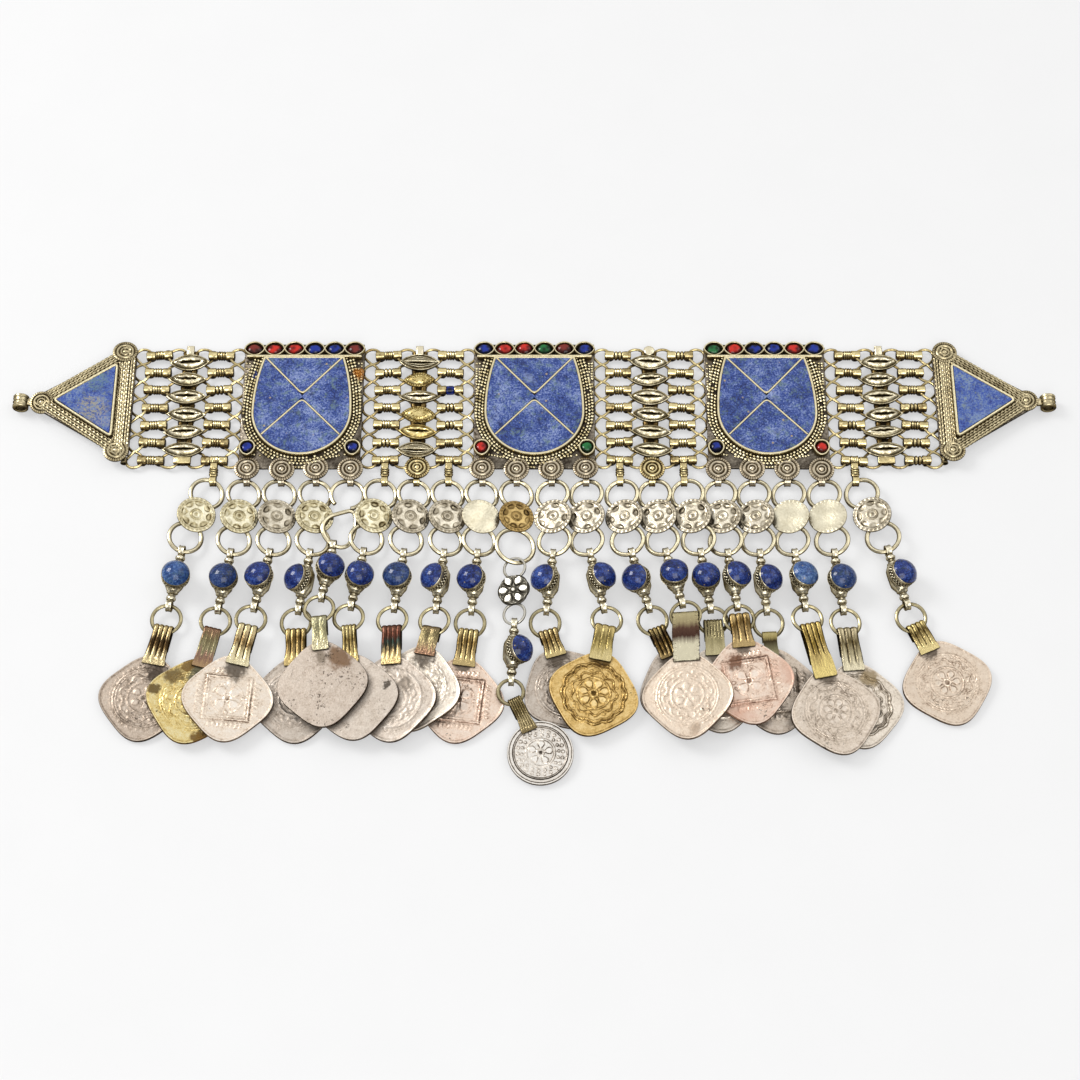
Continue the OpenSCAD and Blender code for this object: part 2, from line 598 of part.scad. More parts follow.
// Relief on a coin's face, h high: plain rings, frames, dots and petals
module dots(r, n, size) {
    for (k = [0 : n - 1]) rotate([0, 0, (k + 0.5) * 360 / n]) translate([r, 0])
        circle(r = size, $fn = 12);
}
module band(r, w) {
    difference() {
        circle(r = r);
        circle(r = r - w);
    }
}
module petals(n, r_in, r_out) {
    polygon([for (k = [0 : 2 * n - 1]) (k % 2 == 0 ? r_out : r_in) * [cos(k * 180 / n), sin(k * 180 / n)]]);
}
module relief_of(kind) {
    if (kind == "rings") {
        band(8.2, 0.5);
        band(5.4, 0.4);
        petals(6, 1, 3.2);
        dots(6.6, 16, 0.4);
    }
    if (kind == "frame") rotate([0, 0, 45]) {
        difference() {
            square(12.4, center = true);
            square(11.4, center = true);
        }
        petals(4, 1.2, 4.4);
        for (s = [-1, 1], k = [-2 : 2]) translate([s * 7.4, k * 2.2]) square([1.1, 0.5], center = true);
    }
    if (kind == "scallop") {
        difference() {
            petals(12, 8.2, 9.2);
            petals(12, 7.6, 8.6);
        }
        petals(8, 1.8, 5);
        dots(6.2, 12, 0.45);
    }
    if (kind == "round") {
        petals(8, 1.2, 3.6);
        dots(5.4, 20, 0.4);
        band(7.6, 0.35);
    }
}

// A folded strap that grips a ring above and is soldered to the coin's face below
module strap(w, top, low) {
    arc = [for (a = [90 : -15 : -90]) [cos(a), sin(a)]];
    front = low;
    back = low + strap_grip + 1.8;
    outer = strap_slot + strap_t;
    translate([-w / 2, 0, strap_z]) rotate([90, 0, 90]) difference() {
        linear_extrude(w) polygon(concat(
            [[front, outer]], [for (p = arc) [top + outer * p[0], outer * p[1]]],
            [[back, -outer], [back, -strap_slot]],
            [for (k = [len(arc) - 1 : -1 : 0]) [top + strap_slot * arc[k][0], strap_slot * arc[k][1]]],
            [[front, strap_slot]]));
        for (k = [-1 : 1]) translate([front - 1, outer - 0.18, w / 2 + k * w / 4 - 0.25])
            cube([top - low + 1, 1, 0.5]);
    }
}

module coin(i) {
    d = DROPS[i];
    round_coin = d[KIND] == "round";
    half = round_coin ? round_r : coin_diag / 2;
    low = ring_low(i);
    translate([low[0], low[1], strap_height(i)]) rotate([d[PITCH], 0, 0]) rotate([0, d[ROLL], 0])
        rotate([0, 0, d[COIN_LEAN]]) translate([0, 0, -strap_z]) {
            strap(d[STRAP_W], strap_top(i), half - d[REACH] - strap_grip);
            translate([0, -d[REACH], -coin_t / 2]) rotate([0, 0, d[TURN]]) {
                body_t = d[KIND] == "blank" ? coin_t : coin_t - relief;
                if (round_coin) {
                    cylinder(r = round_r, h = body_t);
                    linear_extrude(coin_t) band(round_r, 0.8);
                } else {
                    linear_extrude(body_t) polygon(coin_outline(1));
                    if (d[KIND] != "blank") linear_extrude(coin_t) difference() {
                        polygon(coin_outline(1));
                        polygon(coin_outline(0.94));
                    }
                }
                if (d[KIND] != "blank") linear_extrude(coin_t) relief_of(d[KIND]);
            }
        }
}

color(silver) mirror([1, 0, 0]) end_plate();  // end_plate_left
color(silver) end_plate();  // end_plate_right
color(lapis) mirror([1, 0, 0]) end_lapis();  // end_lapis_left
color(lapis) end_lapis();  // end_lapis_right
color(silver) translate([-plaque_pitch, 0, 0]) plaque();  // plaque_left
color(silver) plaque();  // plaque_centre
color(silver) translate([plaque_pitch, 0, 0]) plaque();  // plaque_right
color(lapis) translate([-plaque_pitch, 0, 0]) inlay();  // lapis_inlay_left
color(lapis) inlay();  // lapis_inlay_centre
color(lapis) translate([plaque_pitch, 0, 0]) inlay();  // lapis_inlay_right
color("firebrick") glass("red");  // glass_red
color("maroon") glass("garnet");  // glass_garnet
color("midnightblue") glass("blue");  // glass_blue
color("darkgreen") glass("green");  // glass_green
color(silver) barrels(0);  // panel_1_barrels
color(silver) barrels(1);  // panel_2_barrels
color(silver) barrels(2);  // panel_3_barrels
color(silver) barrels(3);  // panel_4_barrels
color(silver) centre(0);  // panel_1_centre
color(silver) centre(1);  // panel_2_centre
color(silver) centre(2);  // panel_3_centre
color(silver) centre(3);  // panel_4_centre
color(brass) lacing(0);  // panel_1_lacing
color(brass) lacing(1);  // panel_2_lacing
color(brass) lacing(2);  // panel_3_lacing
color(brass) lacing(3);  // panel_4_lacing
color(silver) disc_links(0, 9);  // disc_links_left
color(silver) disc_links(10, 19);  // disc_links_right
color(silver) silver_link();
color(brass) bent_ring();
color(silver) bead_settings(0, 9);  // bead_settings_left
color(silver) bead_settings(10, 19);  // bead_settings_right
color(lapis) cabochons();
color(brass) coin_rings();
color(nickel) coin(0);  // coin_01
color(brass) coin(1);  // coin_02
color(nickel) coin(2);  // coin_03
color(nickel) coin(3);  // coin_04
color(nickel) coin(4);  // coin_05
color(nickel) coin(5);  // coin_06
color(nickel) coin(6);  // coin_07
color(nickel) coin(7);  // coin_08
color(nickel) coin(8);  // coin_09
color(nickel) coin(9);  // coin_10
color(nickel) coin(10);  // coin_11
color(brass) coin(11);  // coin_12
color(nickel) coin(12);  // coin_13
color(nickel) coin(13);  // coin_14
color(nickel) coin(14);  // coin_15
color(nickel) coin(15);  // coin_16
color(nickel) coin(16);  // coin_17
color(nickel) coin(17);  // coin_18
color(nickel) coin(18);  // coin_19
color(nickel) coin(19);  // coin_20
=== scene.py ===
"""Looks of the coin necklace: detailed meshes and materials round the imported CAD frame.

Sizes are in millimetres and angles in degrees until a piece is made. X runs along the band,
Y across it towards its upper edge, and Z up from the surface that the necklace lies on.
"""

import math
from collections import namedtuple

import bmesh
import bpy
import numpy as np
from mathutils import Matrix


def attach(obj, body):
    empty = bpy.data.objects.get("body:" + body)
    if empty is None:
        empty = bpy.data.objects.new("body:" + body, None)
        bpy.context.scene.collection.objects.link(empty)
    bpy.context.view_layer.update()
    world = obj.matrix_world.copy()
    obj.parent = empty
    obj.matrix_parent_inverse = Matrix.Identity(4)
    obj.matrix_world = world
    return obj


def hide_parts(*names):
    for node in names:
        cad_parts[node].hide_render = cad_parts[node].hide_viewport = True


MM = 0.001
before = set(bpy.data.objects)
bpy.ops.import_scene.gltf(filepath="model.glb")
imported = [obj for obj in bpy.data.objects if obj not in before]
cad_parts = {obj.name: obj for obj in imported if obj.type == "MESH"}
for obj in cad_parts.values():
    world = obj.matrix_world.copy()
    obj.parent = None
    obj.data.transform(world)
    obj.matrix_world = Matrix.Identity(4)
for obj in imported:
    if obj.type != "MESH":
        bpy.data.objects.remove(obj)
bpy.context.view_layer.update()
rng = np.random.default_rng(11)

# Sizes of the band, as in the CAD part
TOTAL_LEN = 315
BAND_Y = 49.8
PLAQUE_PITCH = 70
PANEL_X = PLAQUE_PITCH / 2
ROW_PITCH = 6.1
ROWS = 7
PLATE_Z = 2.4
PLATE_TOP = 3.2
PLAQUE_W = 36.4
PLAQUE_LOW = 28
SHIELD_R = 14.4
SHIELD_Y = 47
SHIELD_TOP = 65.7
SIDE_R = 65
SIDE_A = math.degrees(math.asin((SHIELD_TOP - SHIELD_Y) / SIDE_R))
BEZEL_H = 1.6
STONE_Y = 69
STONE_PITCH = 6.1
LOW_STONE = (15.7, 34.8)
LOW_STONE_R = 1.9
BOSS_Y = 27.8
BOSS_R = 3.8
BOSS_OUT_X = 15.4
BOSS_IN_X = 5.2
HANGER = (24.4, 1.6)
HANGER_R = 1.6
HANGER_BORE = 1.2
HANGER_LEN = 1.8
LACE_Z = 1.3
TUBE_BORE = 0.8
TUBE_LEN = 2.6
EDGE_TUBE_X = PLAQUE_PITCH / 4
BARREL_X = 9.5
BARREL_TUBE_X = 2.5
CENTRE_TUBE_X = 1.35
LACE_OUT_X = (BARREL_X + BARREL_TUBE_X + EDGE_TUBE_X) / 2
LACE_IN_X = (BARREL_X - BARREL_TUBE_X + CENTRE_TUBE_X) / 2
LACE_R = 2.9
END_EDGE_X = 2 * PLAQUE_PITCH - EDGE_TUBE_X - 1.4
END_Y = BAND_Y + 1.2
END_HALF_H = 17
END_TUBE_R = 2.4
END_BORE_R = 1.5
TIP_BOSS_X = TOTAL_LEN / 2 - 8.9
SIDE_BOSS_X = END_EDGE_X + 3.9
END_TUBE_X = TOTAL_LEN / 2 - END_TUBE_R
LAPIS_CORNERS = np.array([[END_EDGE_X + 5.9, 12.0], [END_EDGE_X + 23.2, 0],
                          [END_EDGE_X + 5.9, -12.0]])

# Sizes of the drops, as in the CAD part
LINK_RING_R = 4.7
LINK_WIRE = 0.5
LINK_STEP = 7.9
LINK_ROLL = 14
LINK_PITCH = -3.7
DISC_R = 5.4
BEAD_LEN = 17.6
CAB_R = 3.7
CUP_TOP = 4.1
EYE_R = 1.45
EYE_WIRE = 0.35
COIN_RING_R = 4.2
COIN_WIRE = 0.45
COIN_DIAG = 26
COIN_T = 1.4
ROUND_R = 9.7
STRAP_T = 0.45
STRAP_SLOT = 0.85
STRAP_GRIP = 3.4
STRAP_Z = 0.6 - STRAP_SLOT
OPEN_RING = 4
OPEN_R = 4.9
OPEN_PITCH = -6
OPEN_ROLL = 4
BENT_R = 4
BENT_LEN = 7.4
BENT_TURNS = (-12, -4, 28)
LONG_DROP = 9
LONG_DISC_R = 5
LONG_RING_R = 5.6
LONG_STEP = 9.7
SILVER_RING_R = 3.2
SILVER_WIRE = 0.4
SILVER_STEP = 7.3
SILVER_DISC_R = 4.9
SILVER_TURNS = (0, 0.5, -18)
SILVER_COIN_RING_R = 3.6

# Radii of wires and round stones, and scales of the round coin and the widest strap, that are drawn
# a little apart from the CAD part, nearer the photo
WIRE_LOOK = 0.66
LACE_WIRE_LOOK = 0.42
COIN_WIRE_LOOK = COIN_WIRE + 0.1
CAB_LOOK = 3.92
ROUND_COIN_LOOK = 0.96
WIDE_STRAP_LOOK = 1.13

# One row for each drop, as in the CAD part
Drop = namedtuple("Drop", "hang_x link bead cab_roll low_eye coin reach coin_z pitch roll turn "
                          "strap_w strap_up kind")
P1, P3, B = -PLAQUE_PITCH, PLAQUE_PITCH, BARREL_X
DROPS = [Drop(*row) for row in [
    (-3 * PANEL_X + B, -19, -8, 8, 2.7, -11, 20.6, 1.35, 2.4, 0, 4, 5.6, 0, "rings"),
    (P1 - BOSS_OUT_X, -7, -8, 0, 3, -12, 21.2, 3.1, 2.4, 7.5, 0, 5, 0, "rings"),
    (P1 - BOSS_IN_X, -3, -11, -16, 4, -12, 21, 4.1, 2.4, 4.5, 8, 5.6, 0, "frame"),
    (P1 + BOSS_IN_X, 0, -8, -42, 2.7, 2, 19.6, 1.35, 2.4, 0, 0, 5.8, 0, "rings"),
    (P1 + BOSS_OUT_X, -8, -8, 20, 5.4, 5, 19.4, 5.75, 2.4, -5, 0, 4.2, 0, "blank"),
    (-PANEL_X - B, -13, -9, 16, 4.3, 5, 20.6, 4.45, 2.4, -5, 0, 4, 0, "blank"),
    (-PANEL_X, -7, -7, -10, 4, 1, 20.2, 3.72, 2.4, -7.5, 0, 5.6, 0, "rings"),
    (-PANEL_X + B, -1, -6, -38, 3.8, -13, 17.2, 3.1, 2.4, -7.5, 0, 5.4, 0, "rings"),
    (-BOSS_OUT_X, -2, -5, -20, 2.7, -7, 19.6, 1.35, 2.4, 0, 0, 5.8, 0, "frame"),
    (-BOSS_IN_X, -1, -2.5, 44, 3.4, 25, 16.3, 1.65, 4.6, 0, 0, 3.8, 0, "round"),
    (BOSS_IN_X, 2, -6, -35, 2.7, 17, 17, 1.35, 2.4, 0, 14, 5.4, 0, "rings"),
    (BOSS_OUT_X, 0, 12, 34, 3.3, -10, 19.2, 3.5, 2.4, 5, -6, 5.8, 0, "scallop"),
    (PANEL_X - B, 5, 15, -30, 2.7, 22, 18.4, 1.35, 2.4, 0, 0, 5, 0, "rings"),
    (PANEL_X, 7, 13, 0, 5.8, 0, 20.6, 5.5, 2.4, -9.5, 0, 6.8, 1.8, "rings"),
    (PANEL_X + B, 10, 7, 0, 3.2, 3, 17.2, 2.9, 2.4, 0, 0, 5.6, 2, "rings"),
    (P3 - BOSS_OUT_X, 4, 6, 27, 5.1, 6, 15.4, 4.9, 2.4, 0, 3, 5.8, 3.2, "frame"),
    (P3 - BOSS_IN_X, 2, 4, 31, 2.7, 3, 16.6, 1.35, 2.4, 0, 0, 4, 0, "frame"),
    (P3 + BOSS_IN_X, 1, 6, 20, 5, 13, 25, 4.4, 2.4, 5, 0, 5.8, 0, "rings"),
    (P3 + BOSS_OUT_X, 5, 5, 14, 2.7, 5.5, 21.4, 1.95, 2.4, 5, 0, 5.8, 0, "scallop"),
    (3 * PANEL_X - B, 19, 14, 28, 2.7, 24, 17.8, 1.35, 2.4, 0, -10, 5.6, 0, "rings"),
]]

# Places and turns


def move(x, y, z):
    m = np.eye(4)
    m[:3, 3] = x, y, z
    return m


def turn(axis, angle):
    c, s = math.cos(math.radians(angle)), math.sin(math.radians(angle))
    m = np.eye(4)
    i, j = {"x": (1, 2), "y": (2, 0), "z": (0, 1)}[axis]
    m[i, i] = m[j, j] = c
    m[i, j], m[j, i] = -s, s
    return m


def turned(lean, pitch, roll):
    return turn("z", lean) @ turn("x", pitch) @ turn("y", roll)


def placed(at, lean, pitch, roll):
    return move(*at) @ turned(lean, pitch, roll)


def flipped_x():
    return np.diag([-1.0, 1, 1, 1])


def shift(m, v):
    return (m[:3, :3] @ np.array(v, float)) + m[:3, 3]


def on_ring(r, angle):
    return np.array([r * math.sin(math.radians(angle)), -r * math.cos(math.radians(angle)), 0])


def row_y(k):
    return BAND_Y + (3 - k) * ROW_PITCH


def top_of(i):
    return np.array([DROPS[i].hang_x, HANGER[0], HANGER[1]])


def link_frame(i):
    if i == OPEN_RING:
        return placed(top_of(i), DROPS[i].link, OPEN_PITCH, OPEN_ROLL)
    return placed(top_of(i), DROPS[i].link, LINK_PITCH, LINK_ROLL if i <= LONG_DROP else -LINK_ROLL)


def bent_frame():
    top = (DROPS[OPEN_RING].hang_x - 0.9, HANGER[0] - 2 * OPEN_R + 2.45, 2.45)
    return placed(top, *BENT_TURNS)


def silver_frame():
    low = shift(link_frame(LONG_DROP), (0, -LINK_RING_R - LINK_STEP - LONG_STEP - LONG_RING_R, 0))
    return placed(low + [0, LINK_WIRE + SILVER_WIRE + 0.5, 0], *SILVER_TURNS)


def bead_top(i):
    if i == OPEN_RING:
        return shift(bent_frame(), (0, -2 * BENT_R - BENT_LEN, 0))
    if i == LONG_DROP:
        return shift(silver_frame(), (0, -2 * SILVER_RING_R - 2 * SILVER_STEP, 0))
    low = on_ring(LINK_RING_R, DROPS[i].bead - DROPS[i].link)
    return shift(link_frame(i), low + [0, -LINK_RING_R - 2 * LINK_STEP, 0])


def bead_frame(i):
    pitch = math.degrees(math.asin((bead_top(i)[2] - DROPS[i].low_eye) / BEAD_LEN))
    return placed(bead_top(i), DROPS[i].bead, pitch, 0)


def ring_r(i):
    return SILVER_COIN_RING_R if i == LONG_DROP else COIN_RING_R


def coin_turn(i):
    d = DROPS[i]
    return turn("x", d.pitch) @ turn("y", d.roll) @ turn("z", d.coin)


def strap_height(i):
    return DROPS[i].coin_z - shift(coin_turn(i), (0, -DROPS[i].reach, -STRAP_Z))[2]


def ring_frame(i):
    low = shift(bead_frame(i), (0, -BEAD_LEN, 0))
    pitch = math.degrees(math.asin((low[2] - strap_height(i)) / (2 * ring_r(i))))
    mid = low + turned(DROPS[i].bead, pitch, 0)[:3, :3] @ [0, -ring_r(i), 0]
    return placed(mid, DROPS[i].bead, pitch, DROPS[i].roll)


def coin_frame(i):
    low = shift(ring_frame(i), on_ring(ring_r(i), DROPS[i].coin - DROPS[i].bead))
    return move(low[0], low[1], strap_height(i)) @ coin_turn(i) @ move(0, 0, -STRAP_Z)


# Mesh building


def inside_out(mesh, shape_of):
    """Whether each closed shape of a mesh has a negative volume. shape_of names each face's shape."""
    mesh.calc_loop_triangles()
    count = len(mesh.loop_triangles)
    corners, owners = np.empty(count * 3, np.int32), np.empty(count, np.int32)
    mesh.loop_triangles.foreach_get("vertices", corners)
    mesh.loop_triangles.foreach_get("polygon_index", owners)
    places = np.empty(len(mesh.vertices) * 3)
    mesh.vertices.foreach_get("co", places)
    a, b, c = np.moveaxis(places.reshape(-1, 3)[corners.reshape(-1, 3)], 1, 0)
    shapes = shape_of[owners]
    start = a[np.unique(shapes, return_index=True)[1]]
    origin = np.zeros((shape_of.max() + 1, 3))
    origin[np.unique(shapes)] = start
    a, b, c = (v - origin[shapes] for v in (a, b, c))
    volume = np.bincount(shapes, (a * np.cross(b, c)).sum(1), len(origin))
    return volume < 0


class Piece:
    """Collects the faces of one piece, with two painted values: how bright its metal is painted, from worn
    metal and from painted shade and light, and a local place.
    """

    def __init__(self):
        self.points, self.faces, self.bare, self.local, self.count = [], [], [], [], 0
        self.spans = []

    def add(self, shape, at=None, bare=1.0, local=None):
        points, faces = shape
        points = np.asarray(points, float).reshape(-1, 3)
        self.local.append(points if local is None else np.asarray(local, float).reshape(-1, 3))
        self.bare.append(np.broadcast_to(np.asarray(bare, float).ravel(), len(points)))
        if at is not None:
            points = points @ at[:3, :3].T + at[:3, 3]
        self.points.append(points)
        self.faces.extend([tuple(i + self.count for i in face) for face in faces])
        self.spans.append(len(faces))
        self.count += len(points)

    def make(self, name, material, slot, *replaced, sharp=35, side_wear_and_shade=0.72):
        """Builds the mesh. side_wear_and_shade is how much darker a metal is painted on its steep sides and
        undersides than on top: partly worn tops, partly painted shade.
        """
        mesh = bpy.data.meshes.new(name)
        mesh.from_pydata((np.concatenate(self.points) * MM).tolist(), [], self.faces)
        bm = bmesh.new()
        bm.from_mesh(mesh)
        bmesh.ops.recalc_face_normals(bm, faces=bm.faces)
        bm.to_mesh(mesh)
        shape_of = np.repeat(np.arange(len(self.spans)), self.spans)
        inwards = inside_out(mesh, shape_of)
        bm.faces.ensure_lookup_table()
        for k in np.flatnonzero(inwards[shape_of]):
            bm.faces[k].normal_flip()
        bm.to_mesh(mesh)
        bm.free()
        # Steep sides and undersides are painted darker than tops: partly worn tops, partly painted shade
        up = np.array([v.vector.z for v in mesh.vertex_normals])
        bare = np.concatenate(self.bare) * (1 - side_wear_and_shade * (1 - smooth(up, -0.05, 0.7)))
        mesh.attributes.new("bare", "FLOAT", "POINT").data.foreach_set("value", bare)
        mesh.attributes.new("local", "FLOAT_VECTOR", "POINT").data.foreach_set(
            "vector", np.concatenate(self.local).ravel())
        mesh.shade_smooth()
        mesh.set_sharp_from_angle(angle=math.radians(sharp))
        mesh.materials.append(material)
        obj = bpy.data.objects.new(name, mesh)
        bpy.context.scene.collection.objects.link(obj)
        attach(obj, "root")
        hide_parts(*replaced)
        return obj


def lattice(rows, cols, wrap_rows=False):
    """The four-sided faces between the points of a grid."""
    r = np.arange(rows if wrap_rows else rows - 1)[:, None]
    c = np.arange(cols)[None, :]
    r_next, c_next = (r + 1) % rows, (c + 1) % cols
    corners = [r * cols + c, r * cols + c_next, r_next * cols + c_next, r_next * cols + c]
    return np.stack(corners, -1).reshape(-1, 4).tolist()


def stack(loops):
    """A skin over closed loops of equally many points, with its first and last loop capped."""
    loops = np.asarray(loops, float)
    rows, cols = loops.shape[:2]
    caps = [list(range(cols)), list(range((rows - 1) * cols, rows * cols))]
    return loops.reshape(-1, 3), lattice(rows, cols) + caps


def around(sides):
    return np.arange(sides) * 2 * math.pi / sides


def circle(r, sides=8):
    a = around(sides)
    return np.stack([r * np.cos(a), r * np.sin(a)], -1)


def at_height(outline, z):
    """A flat outline, or a row of heights over it, as points in space."""
    return np.column_stack([outline, np.broadcast_to(z, len(outline))])


def revolve(profile, sides):
    """A skin turned about Z from (radius, height) points."""
    return stack([at_height(circle(r, sides), z) for r, z in profile])


def block(x, y0, y1, top_x=None):
    """The outline of a plate from y0, where it reaches x to each side, up to y1."""
    top_x = x if top_x is None else top_x
    return [[-x, y0], [x, y0], [top_x, y1], [-top_x, y1]]


def strip_section(w, h, edge=0.12):
    return np.array([[-w / 2, 0], [w / 2, 0], [w / 2, h - edge], [w / 2 - edge, h], [-w / 2 + edge, h],
                     [-w / 2, h - edge]])


def unit(vectors):
    return vectors / np.maximum(np.linalg.norm(vectors, axis=1, keepdims=True), 1e-9)


def sweep(path, section, closed=False, swell=None):
    """Carries a section of (sideways, up) points along a path that lies nearly flat."""
    path = np.asarray(path, float)
    if path.shape[1] == 2:
        path = at_height(path, 0)
    ahead = np.roll(path, -1, 0) - path
    behind = path - np.roll(path, 1, 0)
    if not closed:
        ahead[-1], behind[0] = behind[-1], ahead[0]
    ahead, behind = unit(ahead[:, :2]), unit(behind[:, :2])
    along = unit(ahead + behind)
    mitre = 1 / np.maximum((along * ahead).sum(1), 0.5)
    side = np.column_stack([-along[:, 1] * mitre, along[:, 0] * mitre, np.zeros(len(path))])
    size = np.ones(len(path)) if swell is None else swell
    section = np.asarray(section, float)
    points = path[:, None] + side[:, None] * section[None, :, :1] * size[:, None, None]
    points[:, :, 2] += section[None, :, 1] * size[:, None]
    faces = lattice(len(path), len(section), wrap_rows=closed)
    if not closed:
        first = np.arange(len(section))
        faces += [first.tolist(), (first + (len(path) - 1) * len(section)).tolist()]
    return points.reshape(-1, 3), faces


def spaced(path, step, closed=False):
    """Points along a path at an even distance near step."""
    path = np.asarray(path, float)
    if closed:
        path = np.vstack([path, path[:1]])
    run = np.concatenate([[0], np.cumsum(np.linalg.norm(np.diff(path, axis=0), axis=1))])
    count = max(2, int(round(run[-1] / step)) + (0 if closed else 1))
    at = np.linspace(0, run[-1], count + (1 if closed else 0))[:count]
    return np.column_stack([np.interp(at, run, path[:, k]) for k in range(path.shape[1])])


def rope(path, r, twist, closed=False, way=1):
    """A wire twisted from two strands along a path. way is 1 or -1 for the way it is twisted."""
    path = spaced(path, twist / 4, closed)
    a = np.arange(6) * math.pi / 3
    points, faces = sweep(path, circle(1, 6), closed)
    points = points.reshape(len(path), 6, 3)
    if path.shape[1] == 2:
        path = at_height(path, 0)
    phase = way * np.arange(len(path)) * math.pi / 4
    size = r * (1 + 0.28 * np.cos(2 * (a[None] - phase[:, None])))
    return (path[:, None] + (points - path[:, None]) * size[:, :, None]).reshape(-1, 3), faces


def ring(r, wire, sides=40):
    """A wire ring. A thick wire has more sides than a thin one."""
    return sweep(circle(r, sides), circle(wire, 10 if wire > 0.45 else 8), closed=True)


def pipe(r, bore, length, sides=18, flare=0.12):
    """A tube about Z with slightly flared ends."""
    h = length / 2
    wall = [(r - flare / 2, -h), (r, -h + 0.15), (r - flare, -h * 0.45), (r - flare, h * 0.45),
            (r, h - 0.15), (r - flare / 2, h), (bore, h), (bore, -h)]
    loops = [at_height(circle(q, sides), z) for q, z in wall]
    return np.reshape(loops, (-1, 3)), lattice(len(loops), sides, wrap_rows=True)


ALONG_Y = turn("x", 90)
ALONG_X = turn("y", 90)


def inset(outline, d):
    """An outline moved inwards by d. The outline runs anticlockwise."""
    outline = np.asarray(outline, float)
    ahead = np.roll(outline, -1, 0) - outline
    ahead /= np.linalg.norm(ahead, axis=1, keepdims=True)
    normal = np.stack([-ahead[:, 1], ahead[:, 0]], -1)
    both = normal + np.roll(normal, 1, 0)
    both /= np.maximum((both * normal).sum(1, keepdims=True), 0.4)
    return outline + both * d


def slab(outline, low, high, edge=0.15):
    """A flat plate with a rounded upper edge."""
    rows = [(0, low), (0, high - edge), (edge * 0.35, high - edge * 0.35), (edge, high)]
    return stack([at_height(inset(outline, d), z) for d, z in rows])


def grain(r):
    """A small dome for one grain."""
    return revolve([(r, -0.1 * r), (r * 0.85, r * 0.55), (r * 0.3, r * 0.95)], 7)


def oval(rx, ry, sides, at=(0, 0)):
    a = around(sides)
    return np.stack([at[0] + rx * np.cos(a), at[1] + ry * np.sin(a)], -1)


def smooth(x, low, high):
    t = np.clip((x - low) / (high - low), 0, 1)
    return t * t * (3 - 2 * t)


def line(distance, width, soft=0.16):
    """1 on a line of the given width, falling to 0 beside it."""
    return 1 - smooth(np.abs(distance), width / 2, width / 2 + soft)


def struck(outline, half, rings, sides, face, edge, half_t, low, lift, darkening):
    """A struck or stamped plate. face(x, y) gives the height of its relief, whose slopes are painted
    darker by darkening: painted shade along its lines, with grimy patina at their foot.

    low is how bright its lowest parts are painted, and lift how much brighter each millimetre of relief is.
    """
    a = around(sides)
    r = outline(a)
    spread = np.linspace(0.03, 1, rings) ** 0.85 * (1 - edge * 0.6 / half)
    x, y = (spread[:, None] * r * f(a) for f in (np.cos, np.sin))
    h = face(x, y)
    along = np.gradient(h, axis=0) / np.gradient(spread)[:, None] / r
    width = 4 * math.pi / sides * np.maximum(spread[:, None] * r, 0.6)
    across = (np.roll(h, -1, 1) - np.roll(h, 1, 1)) / width
    # Darker on the relief's slopes: painted shade that outlines its lines
    bare = list(low + lift * h - darkening * np.hypot(along, across))
    loops = list(np.stack([x, y, half_t + h], -1))
    rim = [(1 - edge * 0.18 / half, -edge * 0.4), (1, -edge)]
    side = [(q, half_t + z) for q, z in rim] + [(q, -half_t - z) for q, z in reversed(rim)]
    # The side wall and underside are painted darker than the face: painted shade
    for q, z in side + [(1 - edge * 0.6 / half, -half_t), (0.5, -half_t)]:
        loops.append(np.stack([q * r * np.cos(a), q * r * np.sin(a), np.full(sides, z)], -1))
        bare.append(np.full(sides, low * 0.45))
    return stack(loops), np.clip(np.concatenate(bare), 0.05, 1.15)


# Materials


def linear(code):
    """A colour given as RRGGBB, in linear light."""
    c = np.array([int(code[k:k + 2], 16) for k in (0, 2, 4)]) / 255
    return (*np.where(c <= 0.04045, c / 12.92, ((c + 0.055) / 1.055) ** 2.4).tolist(), 1)


